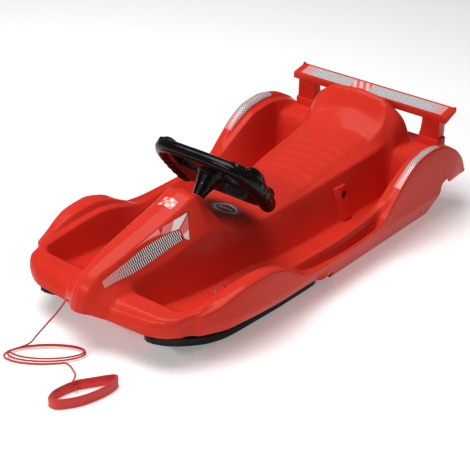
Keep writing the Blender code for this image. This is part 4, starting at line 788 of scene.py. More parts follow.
def pad_lift(x, y):
    side, bow = PAD_HALF_WIDTH - abs(x), (x / PAD_HALF_WIDTH) ** 2
    rear = PAD_REAR - PAD_BOW * bow
    pad = smooth_step(0, PAD_EDGE, side) * smooth_step(PAD_FRONT, PAD_FRONT + PAD_FRONT_FADE, y) * (
        1 - smooth_step(rear - PAD_REAR_FADE, rear, y))
    ribs = smooth_step(0, RIB_EDGE, side) * smooth_step(PAD_FRONT, PAD_FRONT + RIB_FADE, y) * (
        1 - smooth_step(RIB_REAR - 0.03, RIB_REAR + RIB_FADE, y))
    return pad * PAD_LIFT + ribs * RIB_LIFT * math.sin(math.tau * (y + RIB_BOW * bow) / RIB_PITCH)


# %% Stations of the shell
FRONT_ROLL_STEPS, FRONT_ROLL_POWER = 12, 0.85
STATION_STEP = 0.0045
FIRST_STATION = SPINE_HEIGHT[0][0]
TAIL_ROLL = ((0.480, 0.008), (0.488, 0.030), (0.494, 0.075), (0.500, 0.130))


def station_y(x, place):
    """A station's place along the sled; the front ones bend back towards the corners of the bumper."""
    fade = 1 - smooth_step(FIRST_STATION, SWEEP_END, place)
    return HULL_LENGTH * (place + fade * share_at(CORNER_SWEEP, x / HALF_WIDTH))


def front_row(angle):
    """A station of the rolled front edge, from the first true station down to the lip."""
    drop = (1 - math.cos(angle)) ** FRONT_ROLL_POWER
    row = []
    for (x, z), share in zip(hull_corners(FIRST_STATION), FRONT_WIDTH):
        first_y = station_y(x, FIRST_STATION)
        end_y = -HULL_LENGTH * share_at(FRONT_REACH, share)
        end_z = HULL_HEIGHT * share_at(FRONT_HEIGHT, share)
        row.append((x + (share * HALF_WIDTH - x) * drop, first_y + (end_y - first_y) * math.sin(angle),
                    z + (end_z - z) * drop))
    return rounded_row(row, FIRST_STATION)


def hull_rows():
    rows = [front_row(math.pi / 2 * step / FRONT_ROLL_STEPS) for step in range(FRONT_ROLL_STEPS, 0, -1)]
    first, last = FIRST_STATION, DECK_END
    count = round((last - first) / STATION_STEP)
    for index in range(count + 1):
        place = first + (last - first) * index / count
        row = rounded_row([(x, station_y(x, place), z) for x, z in hull_corners(place)], place)
        rows.append([point + Vector((0, 0, pad_lift(point.x, point.y))) for point in row])
    for place, drop in TAIL_ROLL:
        deck = hull_corners(DECK_END)
        row = []
        for index, (x, z) in enumerate(hull_corners(place)):
            if index <= 4:
                row.append((deck[index][0], (DECK_END + drop / 10) * HULL_LENGTH, deck[index][1] - drop * HULL_HEIGHT))
            else:
                row.append((x, place * HULL_LENGTH, z))
        rows.append(rounded_row(row, place))
    return rows


# %% Skin the stations, mirror the half and give it its wall
half = bmesh.new()
grid = [[half.verts.new(point) for point in row] for row in hull_rows()]
for near_row, far_row in zip(grid, grid[1:]):
    for index in range(len(near_row) - 1):
        half.faces.new((near_row[index], near_row[index + 1], far_row[index + 1], far_row[index]))
shell = mesh_object("shell", half)
mirror = shell.modifiers.new("mirror", "MIRROR")
mirror.merge_threshold = 0.0001
wall = shell.modifiers.new("wall", "SOLIDIFY")
wall.thickness = WALL
wall.offset = -1
apply_modifiers(shell)
print("the shell has", len(shell.data.vertices), "points")


# %% Closed shapes: pushed outlines and rods
def add_prism(made, outline, low, high, along="X"):
    """Add a pushed outline to a bmesh; along X it is (y, z), along Y (x, z) and along Z (x, y)."""
    place_point = {"X": lambda u, v, w: (w, u, v), "Y": lambda u, v, w: (u, w, v),
                   "Z": lambda u, v, w: (u, v, w)}[along]
    bottom, top = [[made.verts.new(place_point(u, v, level)) for u, v in outline] for level in (low, high)]
    faces = [made.faces.new(bottom), made.faces.new(top)]
    for index in range(len(outline)):
        after = (index + 1) % len(outline)
        faces.append(made.faces.new((bottom[index], bottom[after], top[after], top[index])))
    bmesh.ops.recalc_face_normals(made, faces=faces)


def add_rod(made, base, tip, radius, sides=32, tip_radius=None):
    base, tip = Vector(base), Vector(tip)
    turn = (tip - base).to_track_quat("Z", "Y").to_matrix().to_4x4()
    bmesh.ops.create_cone(made, cap_ends=True, segments=sides, radius1=radius,
                          radius2=radius if tip_radius is None else tip_radius, depth=(tip - base).length,
                          matrix=Matrix.Translation((base + tip) / 2) @ turn)


def rounded_outline(outline, radii, steps=5):
    """The same outline with rounded corners; one radius for each corner."""
    points = []
    for index, here in enumerate(outline):
        here = Vector(here)
        back_run = Vector(outline[index - 1]) - here
        next_run = Vector(outline[(index + 1) % len(outline)]) - here
        reach = min(radii[index], back_run.length / 2.05, next_run.length / 2.05)
        if reach > 0:
            start, end = here + back_run.normalized() * reach, here + next_run.normalized() * reach
            points += [tuple(point) for point in bend(start, here, end, steps + 1)]
        else:
            points.append(tuple(here))
    return points


def rectangle(side, low_x, high_x, low_y, high_y):
    """Corners of a rectangle on the rider's right (-1) or left (1)."""
    return [(side * x, y) for x, y in ((low_x, low_y), (high_x, low_y), (high_x, high_y), (low_x, high_y))]


def soften(made, width, steps=3, keep=lambda edge: True, sharper_than=30):
    """Round the sharp edges of a bmesh that pass a test."""
    edges = [edge for edge in made.edges if len(edge.link_faces) == 2 and keep(edge)
             and edge.calc_face_angle() > math.radians(sharper_than)]
    bmesh.ops.bevel(made, geom=edges, offset=width, segments=steps, profile=0.5, affect="EDGES",
                    clamp_overlap=True)
    return made


def near_top(level):
    return lambda edge: all(vert.co.z > level for vert in edge.verts)


def piece_of(name, add, *shape, softened=None):
    """One rod or prism as an object of its own, with the softening that it is given."""
    made = bmesh.new()
    add(made, *shape)
    if softened:
        soften(made, *softened)
    return mesh_object(name, made)


def combine(target, pieces, operation):
    """Join or cut closed shapes and keep the result as a plain mesh."""
    for piece in pieces:
        change = target.modifiers.new(piece.name, "BOOLEAN")
        change.solver = "MANIFOLD"
        change.operation = operation
        change.object = piece
    apply_modifiers(target)
    for piece in pieces:
        bpy.data.objects.remove(piece)


# %% [markdown]
# The real mould has a few thicker places. A collar holds the bush of the steering shaft, a low
# boss stands round each ski's pivot, two pads take the screws of the steel bracket, a wide and
# shallow upright boss on each wall of the seat has the hole of a side lever, and two stubs on the
# rear deck carry the wing; their inner feet run out into the deck in a curve. Each is a closed
# shape, softened where its upper edges are in sight, that is joined to the sheet.

# %% Collar, bosses, pads and wing stubs
COLUMN_LEAN = math.radians(50)
WHEEL_CENTRE = Vector((0, -0.118, 0.229))
SHAFT = Vector((0, math.sin(COLUMN_LEAN), math.cos(COLUMN_LEAN)))
DASH_DEPTH, COLLAR_LENGTH, COLLAR_RADIUS, BUSH_RADIUS = 0.062, 0.030, 0.024, 0.0105
PIVOT_X, PIVOT_Y, SKI_TOP = 0.1535, -0.245, 0.018
BOSS_RADIUS, BOSS_RISE, PIVOT_RADIUS = 0.017, 0.004, 0.005
PAD_INNER, PAD_WIDTH, SCREW_PAD_FRONT, SCREW_PAD_LENGTH = 0.104, 0.034, -0.262, 0.050
SCREW_PAD_RISE, SCREW_PAD_DEPTH, SCREW_RADIUS = 0.0015, 0.010, 0.002
PILLAR_INNER, PILLAR_WIDTH, PILLAR_FRONT, PILLAR_DEPTH = 0.150, 0.047, 0.4525, 0.026
PILLAR_OUTER, PILLAR_REAR = PILLAR_INNER + PILLAR_WIDTH, PILLAR_FRONT + PILLAR_DEPTH
STUB_MARGIN, STUB_TOP, STUB_FLARE, FLARE_STEPS, SPIGOT_DEPTH = 0.004, 0.166, 0.020, 16, 0.012
LEVER_Y, LEVER_Z, LEVER_RADIUS, LEVER_BOSS_RADIUS, LEVER_BOSS_STRETCH = 0.203, 0.093, 0.0100, 0.017, 1.4


def floor_at(y):
    return HULL_HEIGHT * share_at(FLOOR_HEIGHT, y / HULL_LENGTH)


collar_foot = WHEEL_CENTRE - SHAFT * (DASH_DEPTH + COLLAR_LENGTH)
collar_top = WHEEL_CENTRE - SHAFT * DASH_DEPTH
boss_top = floor_at(PIVOT_Y) + BOSS_RISE
pad_top = floor_at(SCREW_PAD_FRONT) + SCREW_PAD_RISE
place = LEVER_Y / HULL_LENGTH
foot, shoulder = HALF_WIDTH * share_at(FOOT_WIDTH, place), HALF_WIDTH * share_at(SHOULDER_WIDTH, place)
low, high = floor_at(LEVER_Y), HULL_HEIGHT * share_at(SHOULDER_HEIGHT, place)
tip_z = LEVER_Z + LEVER_BOSS_RADIUS
wall_x = shoulder + (foot - shoulder) * (high - tip_z) / (high - low)
deck = HULL_HEIGHT * share_at(FLOOR_HEIGHT, DECK_END)
low_x, high_x = PILLAR_INNER - STUB_MARGIN, PILLAR_OUTER + STUB_MARGIN
low_y, high_y = PILLAR_FRONT - STUB_MARGIN, PILLAR_REAR + STUB_MARGIN
flare_top = STUB_TOP - 0.0014
flare_outline = [(low_x + WALL, flare_top)]
for step in range(FLARE_STEPS + 1):
    angle = math.pi / 2 * step / FLARE_STEPS
    flare_outline.append((low_x - STUB_FLARE * (1 - math.cos(angle)), flare_top - (flare_top - deck) * math.sin(angle)))
flare_outline += [(low_x - STUB_FLARE, deck - WALL / 2), (low_x + WALL, deck - WALL / 2)]

joined = [piece_of("collar", add_rod, collar_foot, collar_top, COLLAR_RADIUS, 56, softened=(
    0.0025, 3, lambda edge: all((vert.co - collar_top).dot(SHAFT) > -0.001 for vert in edge.verts)))]
for side in (-1, 1):
    joined.append(piece_of("boss", add_rod, (side * PIVOT_X, PIVOT_Y, SKI_TOP + FIT_GAP),
                           (side * PIVOT_X, PIVOT_Y, boss_top), BOSS_RADIUS, 48,
                           softened=(0.0015, 3, near_top(boss_top - 0.001))))
    joined.append(piece_of("pad", add_prism, rounded_outline(rectangle(
        side, PAD_INNER, PAD_INNER + PAD_WIDTH, SCREW_PAD_FRONT, SCREW_PAD_FRONT + SCREW_PAD_LENGTH), [0.004] * 4),
        pad_top - SCREW_PAD_DEPTH, pad_top, "Z"))
    lever_boss = bmesh.new()
    add_rod(lever_boss, (side * (foot - LEVER_BOSS_RADIUS * 0.5), LEVER_Y, low - WALL / 2),
            (side * (wall_x - LEVER_BOSS_RADIUS * 0.5), LEVER_Y, tip_z), LEVER_BOSS_RADIUS, 48)
    for vert in lever_boss.verts:
        vert.co.y = LEVER_Y + (vert.co.y - LEVER_Y) * LEVER_BOSS_STRETCH
    joined.append(mesh_object("lever_boss", soften(lever_boss, 0.003, 4, near_top(tip_z - 0.006))))
    joined.append(piece_of(
        "stub", add_prism, rounded_outline(rectangle(side, low_x, high_x, low_y, high_y), [0.005] * 4),
        deck - 0.006, STUB_TOP, "Z", softened=(0.0012, 2, near_top(STUB_TOP - 0.001))))
    flare = [(side * x, z) for x, z in flare_outline]
    joined.append(piece_of("flare", add_prism, flare, PILLAR_FRONT, PILLAR_REAR, "Y"))
combine(shell, joined, "UNION")
print("the shell with its bosses has", len(shell.data.polygons), "faces")


# %% [markdown]
# Notches and holes are cut from the finished sheet: the lower edge behind the rear fenders and
# under the front ones, the hole of the cord, the lever holes, the bores of the pivots and of the
# steering bush, the screw holes of the pads and the sockets of the wing's two spigots.

# %% Notches, holes, bores and sockets
CORD_HOLE = (-0.047, 0.079)
CORD_HOLE_FRONT, CORD_HOLE_REAR, CORD_PLAY = -0.53, -0.44, 0.0006
LEVER_HOLE_INNER, LEVER_HOLE_OUTER = 0.06, 0.165
WING_SCREW_RADIUS = 0.0025
OVERRUN = 0.01

far, wide = HULL_LENGTH / 2 + OVERRUN, HALF_WIDTH + OVERRUN
rear_notch = ((0.405, -0.01), (far, -0.01), (far, 0.076), (0.450, 0.076), (0.446, 0.078), (0.444, 0.082),
              (0.440, 0.088), (0.436, 0.090), (0.419, 0.090), (0.411, 0.086), (0.407, 0.078))
front_notch = ((-0.087, -0.01), (0.021, -0.01), (0.017, 0.020), (-0.087, 0.020))


def wing_screw_holes(name, inner, outer, radius):
    """Both holes of the wing's screws as one cutter, from inside to outside the pillars' rear face."""
    made = bmesh.new()
    for side in (-1, 1):
        x, z = side * (PILLAR_INNER + PILLAR_WIDTH / 2), STUB_TOP - SPIGOT_DEPTH / 2
        add_rod(made, (x, PILLAR_REAR - inner, z), (x, PILLAR_REAR + outer, z), radius, 20)
    return mesh_object(name, made)


cutting = bmesh.new()
add_prism(cutting, rear_notch, -wide, wide)
add_prism(cutting, front_notch, -wide, wide)
add_rod(cutting, (CORD_HOLE[0], CORD_HOLE_FRONT, CORD_HOLE[1]), (CORD_HOLE[0], CORD_HOLE_REAR, CORD_HOLE[1]),
        CORD_RADIUS + CORD_PLAY, 20)
add_rod(cutting, WHEEL_CENTRE - SHAFT * (DASH_DEPTH + COLLAR_LENGTH + OVERRUN), collar_top + SHAFT * OVERRUN,
        BUSH_RADIUS + FIT_GAP, 40)
for side in (-1, 1):
    add_rod(cutting, (side * LEVER_HOLE_INNER, LEVER_Y, LEVER_Z), (side * LEVER_HOLE_OUTER, LEVER_Y, LEVER_Z),
            LEVER_RADIUS)
    add_rod(cutting, (side * PIVOT_X, PIVOT_Y, 0), (side * PIVOT_X, PIVOT_Y, boss_top + OVERRUN),
            PIVOT_RADIUS + FIT_GAP)
    for row in (1, 3):
        x, y = side * (PAD_INNER + PAD_WIDTH / 2), SCREW_PAD_FRONT + SCREW_PAD_LENGTH * row / 4
        add_rod(cutting, (x, y, pad_top - 0.02), (x, y, pad_top + OVERRUN), SCREW_RADIUS + FIT_GAP, 20)
    inset = FIT_GAP - WALL / 2
    add_prism(cutting, rectangle(side, PILLAR_INNER - inset, PILLAR_OUTER + inset, PILLAR_FRONT - inset,
                                 PILLAR_REAR + inset), STUB_TOP - SPIGOT_DEPTH - 0.02, STUB_TOP + OVERRUN, "Z")
combine(shell, [mesh_object("cutter", cutting)], "DIFFERENCE")
combine(shell, [wing_screw_holes("screw_holes", 0.006, 0.014, WING_SCREW_RADIUS + FIT_GAP)], "DIFFERENCE")
shell.data.set_sharp_from_angle(angle=math.radians(32))
shell.data.name = "shell"
dress(shell, "chassis", "red_plastic", ("hull",))
print("the cut shell has", len(shell.data.polygons), "faces")


# %% [markdown]
# ## Printed films
#
# The moulding carries a few thin printed films: on each flank of the bonnet a long wedge of small
# checks and a patch in two parts behind it, pink and white; a small mark on top of the bonnet, a
# round badge behind the dash, grey checks on the rear fenders and a grey band with a pink middle on
# the wing. A narrow pink film over the wedge is a painted highlight: it paints the reflection of the
# light on the bonnet's upper crease. The films show no words or marks of a maker. Each film is a
# fine net that is laid on the moulding from outside and lifted by a quarter of a millimetre, with
# its print drawn from its own map.

# %% Lay a film on a surface
FILM_LIFT = 0.00025
FILM_REACH = 0.06


def surface_tree(thing):
    return BVHTree.FromPolygons([vert.co for vert in thing.data.vertices],
                                [tuple(face.vertices) for face in thing.data.polygons])


def lay_film(name, target, place_point, outward, columns, rows, finish):
    """A net of points is dropped on a surface from outside; the map runs from 0 to 1 both ways."""
    made = bmesh.new()
    layer = made.loops.layers.uv.new("run")
    way = Vector(outward)
    net = []
    for row in range(rows + 1):
        line = []
        for column in range(columns + 1):
            u, v = column / columns, row / rows
            point = Vector(place_point(u, v))
            hit, normal = target.ray_cast(point + way * FILM_REACH, -way, FILM_REACH * 2)[:2]
            if hit is None:
                hit, normal = target.find_nearest(point)[:2]
            line.append((made.verts.new(hit + normal * FILM_LIFT), (u, v)))
        net.append(line)
    for low, high in zip(net, net[1:]):
        for index in range(columns):
            corners = (low[index], low[index + 1], high[index + 1], high[index])
            face = made.faces.new([corner[0] for corner in corners])
            for loop, corner in zip(face.loops, corners):
                loop[layer].uv = corner[1]
    made.normal_update()
    made.faces.ensure_lookup_table()
    if made.faces[len(made.faces) // 2].normal.dot(way) < 0:
        bmesh.ops.reverse_faces(made, faces=made.faces)
    film = mesh_object(name, made, 60)
    film.data.materials.append(finish)
    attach(film, "chassis")


# %% Prints of the films
LINE_COLOUR = (0.20, 0.06, 0.06)


def film_base(name):
    made = Finish(name, (0.8, 0.8, 0.8), 0.25, coat=0.3)
    return made, *made.run_map()


def stripes(value, count, share=0.5):
    """1 where a repeated stripe is printed, 0 between."""
    return (value * count).work("FRACT") < share


def either(first, second):
    """1 where just one of the two is 1, as on a chequered flag."""
    return abs(first - second)


def checked_print(name, across, along, dark, light, fade_colour, fade_from, fade_to):
    """Small checks in two tones that fade into a third tone at one end."""
    made, u, v = film_base(name)
    tone = made.mix(either(stripes(u, across), stripes(v, along)), light, dark)
    made.paint(made.mix(u.span(fade_from, fade_to), fade_colour, tone))
    return made.material


def patch_print():
    """Pink in front and white behind, with a thin dark line at three edges."""
    made, u, v = film_base("patch_print")
    tone = made.mix((u + v * 0.12).span(0.52, 0.60), (0.92, 0.30, 0.28), (0.98, 0.92, 0.92))
    edge = (u < 0.03).work("MAXIMUM", u > 0.965).work("MAXIMUM", v > 0.95)
    made.paint(made.mix(edge, tone, LINE_COLOUR))
    return made.material


def corner_print():
    """Pink above and white at the foot, with the same thin line behind."""
    made, u, v = film_base("corner_print")
    tone = made.mix(v.span(0.34, 0.46), (0.97, 0.84, 0.84), (0.90, 0.24, 0.22))
    made.paint(made.mix(u > 0.90, tone, LINE_COLOUR))
    return made.material


def badge_print():
    """Pale rings round a dark middle with a white bar."""
    made, u, v = film_base("badge_print")
    across, along = (u - 0.5) * 2.0, (v - 0.5) * 2.0
    radius = (across * across + along * along).work("SQRT")
    rings = made.mix(radius < 0.84, (0.40, 0.16, 0.16), (1.0, 0.80, 0.79))
    inner = made.mix(radius < 0.62, rings, (0.24, 0.10, 0.12))
    made.paint(made.mix((abs(along) < 0.16) * (abs(across) < 0.46), inner, (0.95, 0.90, 0.90)))
    return made.material


def wing_print():
    """A grey band with fine lines, a pink patch in the middle and pink ends."""
    made, u, v = film_base("wing_print")
    tone = made.mix(either(stripes(u, 100), stripes(v, 4)), (0.26, 0.26, 0.27), (0.90, 0.90, 0.91))
    patch = made.mix(stripes(u + v * 0.05, 22), (0.95, 0.62, 0.60), (0.90, 0.20, 0.17))
    toned = made.mix(abs(u - 0.42).span(0.055, 0.075, 1.0, 0.0), tone, patch)
    made.paint(made.mix(abs(u - 0.5).span(0.40, 0.50), toned, (0.84, 0.36, 0.34)))
    return made.material


# %% Films on the bonnet, the console and the rear fenders
FENDER_FILM_START, FENDER_FILM_LENGTH = 0.215, 0.150
MARK_Y, MARK_Z, MARK_WIDTH, MARK_LENGTH = -0.256, 0.215, 0.034, 0.024
BADGE_X, BADGE_Y, BADGE_Z, BADGE_HALF_WIDTH, BADGE_HALF_LENGTH = 0.006, -0.080, 0.136, 0.038, 0.024


def strip_spots(first, last, low, high):
    """Spots on the bonnet's flank between two places along it and between two curves."""
    return lambda u, v: (first + (last - first) * u, low(u) + (high(u) - low(u)) * v)


def patch_spots(*corners):
    """Spots on the bonnet's flank between four corners."""
    first, second, third, fourth = [Vector(corner) for corner in corners]
    return lambda u, v: first.lerp(second, u).lerp(fourth.lerp(third, u), v)


shell_tree = surface_tree(shell)
wedge = checked_print("wedge_print", 40, 1, (0.015, 0.012, 0.018), (0.92, 0.86, 0.86), (0.90, 0.34, 0.32), 0, 0.40)
fender = checked_print("fender_print", 30, 3, (0.24, 0.16, 0.16), (0.88, 0.80, 0.80), (0.86, 0.26, 0.24), 0, 0.30)
patch, corner, badge = patch_print(), corner_print(), badge_print()
# A painted highlight: a flat pink film along the bonnet's upper crease paints the reflection of the light there.
painted_highlight = checked_print("painted_highlight_print", 1, 1, (0.95, 0.36, 0.34), (0.95, 0.36, 0.34), (0.88, 0.14, 0.12), 0, 0.8)
FLANK_FILMS = (
    ("wedge_film", strip_spots(-0.455, -0.268, lambda u: 0.08 + 0.21 * math.sin(0.72 * math.pi * u),
                               lambda u: 0.50 + 0.03 * u + 0.28 * math.sin(math.pi * u) ** 0.7), 120, 8, wedge),
    # The painted highlight film lies just under the upper crease of each flank.
    ("painted_highlight_film", strip_spots(-0.369, -0.306, lambda u: 0.965 - 0.155 * u * u, lambda u: 0.985), 40, 8, painted_highlight),
    ("patch_film", patch_spots((-0.309, 0.79), (-0.264, 0.57), (-0.229, 0.80), (-0.297, 0.97)), 24, 14, patch),
    ("corner_film", patch_spots((-0.264, 0.24), (-0.255, 0.12), (-0.230, 0.78), (-0.264, 0.555)), 12, 20, corner))

for side, hand in ((-1, "right"), (1, "left")):
    for name, spots, columns, rows, finish in FLANK_FILMS:
        def flank_point(u, v, side=side, spots=spots):
            """A spot's share is 0 on the flank's lower crease and 1 on the upper one."""
            place, share = spots(u, v)
            corners = hull_corners(place)
            x, z = Vector(corners[2]).lerp(Vector(corners[1]), share)
            return side * x, station_y(x, place), z

        lay_film(f"{name}_{hand}", shell_tree, flank_point, Vector((side * 0.80, -0.05, 0.60)).normalized(),
                 columns, rows, finish)

    def fender_point(u, v, side=side):
        place = FENDER_FILM_START + FENDER_FILM_LENGTH * u
        corners = hull_corners(place)
        x, z = Vector(corners[6]).lerp(Vector(corners[9]), 0.12 + 0.72 * v)
        return side * x, place * HULL_LENGTH, z

    lay_film(f"fender_film_{hand}", shell_tree, fender_point, (0, 0, 1), 70, 8, fender)

mark = checked_print("mark_print", 2.0, 1.5, (0.86, 0.14, 0.12), (0.94, 0.54, 0.52), (0.90, 0.30, 0.28), -0.2, 0.0)
lay_film("bonnet_mark", shell_tree, lambda u, v: (MARK_WIDTH * (u - 0.5), MARK_Y + MARK_LENGTH * (v - 0.5), MARK_Z),
         (0, 0, 1), 24, 12, mark)


def badge_point(u, v):
    """The square net is pulled in to a disc, so that the film has a round edge."""
    a, b = 2 * u - 1, 2 * v - 1
    return (BADGE_X + BADGE_HALF_WIDTH * a * math.sqrt(1 - b * b / 2),
            BADGE_Y + BADGE_HALF_LENGTH * b * math.sqrt(1 - a * a / 2), BADGE_Z)


lay_film("round_badge", shell_tree, badge_point, (0, 0, 1), 28, 28, badge)
print("films on the shell are laid")


# %% [markdown]
# ## The steering wheel
#
# The real wheel is one thick black moulding: a rim as thick as a child's grip, swollen palm
# rests and end stops, finger grooves along the grips, two windows and a cone that hides the
# shaft. The parts are laid into each other as simple solids, one even skin is drawn over all
# of them and then smoothed a little, which gives the soft hollows of a moulding.

# %% Steering wheel
WHEEL_HALF_WIDTH, WHEEL_HALF_HEIGHT, GRIP_RADIUS = 0.119, 0.0865, 0.0185
RING = ((0.000, -0.860), (0.220, -0.862), (0.440, -0.852), (0.640, -0.810), (0.800, -0.700), (0.900, -0.540),
        (0.950, -0.340), (0.975, -0.120), (0.985, 0.110), (0.975, 0.350), (0.950, 0.590), (0.915, 0.810),
        (0.880, 0.960), (0.865, 1.020))
RING_THICKNESS = ((0.0, 0.72), (0.30, 0.74), (0.45, 0.82), (0.60, 0.98), (0.72, 1.00), (0.88, 0.98), (0.96, 0.86),
                  (1.0, 0.55))
RING_DISH, RING_STEP, GROOVE_SIZE, GROOVE_SPACING = 0.07, 0.0016, 0.055, 0.078
PLATE_THICKNESS = 0.022
HALF_PLATE = ((0.023, -0.072), (0.024, -0.002), (0.084, -0.002), (0.104, 0.004), (0.104, 0.066), (0.082, 0.078))
PLATE_RADII = (0, 0.012, 0.006, 0, 0.014, 0.014)
CHEEK = ((0.112, -0.066), (0.112, 0.006), (0.078, 0.006), (0.079, -0.046), (0.076, -0.072), (0.096, -0.074))
CHEEK_RADII = (0, 0, 0.004, 0.010, 0, 0)
PALM_REST = ((0.110, -0.018, 0.012), (0.018, 0.036, 0.017))
END_STOP = ((0.110, 0.048, 0.012), (0.016, 0.017, 0.015))
SHAFT_BORE, NUT_RECESS, NUT_EYE = 0.0074, 0.0115, 0.0043
WHEEL_SKIN = 0.0014
on_wheel = Matrix.Translation(WHEEL_CENTRE) @ Matrix.Rotation(-COLUMN_LEAN, 4, "X")


def add_ball(made, centre, size, sides=32):
    ball = bmesh.ops.create_uvsphere(made, u_segments=sides, v_segments=sides // 2, radius=1.0)["verts"]
    bmesh.ops.transform(made, matrix=Matrix.Translation(centre) @ Matrix.Diagonal((*size, 1.0)), verts=ball)


ring_half = [Vector((x * WHEEL_HALF_WIDTH, y * WHEEL_HALF_HEIGHT, min(0.0, y * WHEEL_HALF_HEIGHT) * RING_DISH))
             for x, y in RING]
ring_line = smooth_route([Vector((-point.x, point.y, point.z)) for point in ring_half[:0:-1]] + ring_half, RING_STEP)
ring_scales = []
for index in range(len(ring_line)):
    share = abs(2 * index / (len(ring_line) - 1) - 1)
    grip = smooth_step(0.50, 0.60, share) * (1 - smooth_step(0.86, 0.94, share))
    groove = GROOVE_SIZE * grip * (1 + math.cos(math.tau * share / GROOVE_SPACING)) / 2
    ring_scales.append(share_at(RING_THICKNESS, share) - groove)
wheel_mesh = sweep(ring_line, round_profile(GRIP_RADIUS, 32), scales=ring_scales)
plate = list(HALF_PLATE) + [(-x, y) for x, y in reversed(HALF_PLATE)]
add_prism(wheel_mesh, rounded_outline(plate, PLATE_RADII + PLATE_RADII[::-1]), -PLATE_THICKNESS / 2,
          PLATE_THICKNESS / 2, "Z")
cone_end = -DASH_DEPTH + 0.002 + FIT_GAP
for low, high, low_radius, high_radius in ((cone_end, -0.034, 0.0125, 0.019), (-0.036, -0.014, 0.0185, 0.027),
                                           (-0.016, 0.004, 0.0265, 0.034)):
    add_rod(wheel_mesh, (0, 0, low), (0, 0, high), low_radius, 48, high_radius)
for side in (-1, 1):
    add_prism(wheel_mesh, rounded_outline([(side * x, y) for x, y in CHEEK], CHEEK_RADII), -PLATE_THICKNESS / 2,
              PLATE_THICKNESS / 2, "Z")
    for (x, y, z), size in (PALM_REST, END_STOP):
        add_ball(wheel_mesh, (side * x, y, z), size)
wheel = mesh_object("wheel", wheel_mesh)
skin = wheel.modifiers.new("skin", "REMESH")
skin.mode = "VOXEL"
skin.voxel_size = WHEEL_SKIN
relax = wheel.modifiers.new("relax", "SMOOTH")
relax.factor = 0.5
relax.iterations = 6
apply_modifiers(wheel)
bores = bmesh.new()
add_rod(bores, (0, 0, cone_end - 0.01), (0, 0, -0.004), SHAFT_BORE, 40)
add_rod(bores, (0, 0, 0), (0, 0, PLATE_THICKNESS), NUT_RECESS, 40)
eye = piece_of("eye", add_rod, (0, 0, -0.010), (0, 0, 0.010), NUT_EYE, 32)
combine(wheel, [mesh_object("bores", bores), eye], "DIFFERENCE")
wheel.data.transform(on_wheel)
wheel.data.set_sharp_from_angle(angle=math.radians(50))
dress(wheel, "steering", "black_plastic", ("steering_wheel",))
print("the wheel has", len(wheel.data.polygons), "faces")


# %% Round pieces turned on the shaft's axis
def turned(profile, sides=72):
    """A closed solid turned round Z from (radius, height) points, run from top to bottom."""
    made = bmesh.new()
    verts = [made.verts.new((radius, 0, height)) for radius, height in profile]
    edges = [made.edges.new(pair) for pair in zip(verts, verts[1:])]
    bmesh.ops.spin(made, geom=verts + edges, axis=(0, 0, 1), cent=(0, 0, 0), dvec=(0, 0, 0),
                   angle=math.tau, steps=sides, use_merge=True, use_duplicate=False)
    bmesh.ops.remove_doubles(made, verts=made.verts, dist=0.00001)
    bmesh.ops.recalc_face_normals(made, faces=made.faces)
    return made


CAP_RADIUS, CAP_HEIGHT, CAP_FALL, CAP_GROOVE, CAP_STEPS = 0.0205, 0.0050, 0.0030, 0.0004, 14

cap_base = PLATE_THICKNESS / 2 + FIT_GAP
cap_profile = [(0, CAP_HEIGHT)]
for step in range(1, CAP_STEPS + 1):
    reach = step / CAP_STEPS
    dip = -CAP_GROOVE if step in (9, 10) else 0.0
    cap_profile.append((CAP_RADIUS * reach, CAP_HEIGHT - CAP_FALL * reach ** 2.6 + dip))
cap_profile += [(0.0209, 0.0016), (0.0210, 0.0008), (0.0210, 0.0), (0.0112, 0.0), (0.0112, -0.0018), (0, -0.0018)]
cap = mesh_object("wheel_centre_cap", turned([(radius, cap_base + height) for radius, height in cap_profile]), 40)
cap.data.transform(on_wheel)
dress(cap, "steering", "black_plastic", ("wheel_cap",))


# %% [markdown]
# ## The rear wing
#
# The wing is a second moulding in the same red: a hollow blade that rises a little to the rear,
# raised tips and two pillars whose feet widen inwards and plug into the stubs. It is built from
# pushed outlines and all its edges are rounded at once.

# %% Rear wing
WING_HALF_LENGTH, WING_FRONT, WING_CHORD, WING_BOTTOM = 0.213, 0.452, 0.044, 0.210
WING_TOP, WING_REAR_TOP, WING_REAR_THICKNESS = 0.225, 0.235, 0.009
TIP_INSET, TIP_WIDTH, TIP_HEIGHT, TIP_DEPTH = 0.0008, 0.014, 0.004, 0.007
PILLAR_STEPS, SPIGOT_INSET = 12, 0.002
BAND_LENGTH, BAND_DEPTH, BAND_INSET, BAND_Z = 0.392, 0.034, 0.005, 0.230

wing_rear = WING_FRONT + WING_CHORD
wing = piece_of("wing", add_prism, [
    (WING_FRONT, WING_BOTTOM), (WING_FRONT, WING_TOP), (wing_rear, WING_REAR_TOP),
    (wing_rear, WING_REAR_TOP - WING_REAR_THICKNESS)], -WING_HALF_LENGTH, WING_HALF_LENGTH)
tip_end, tip_foot = WING_HALF_LENGTH - TIP_INSET, WING_REAR_TOP - 0.0045
tip_outline = [(tip_end - TIP_WIDTH, tip_foot), (tip_end, tip_foot), (tip_end, WING_REAR_TOP + TIP_HEIGHT)]
foot_z = STUB_TOP + FIT_GAP
pillar_top = WING_BOTTOM + 0.010
pillar_outline = [(PILLAR_OUTER, foot_z), (PILLAR_OUTER, pillar_top), (PILLAR_INNER + 0.002, pillar_top)]
for step in range(PILLAR_STEPS + 1):
    share = step / PILLAR_STEPS
    pillar_outline.append((PILLAR_INNER + 0.0015 - 0.0050 * share ** 2.2, WING_BOTTOM - (WING_BOTTOM - foot_z) * share))
wing_parts, wing_feet = [], []
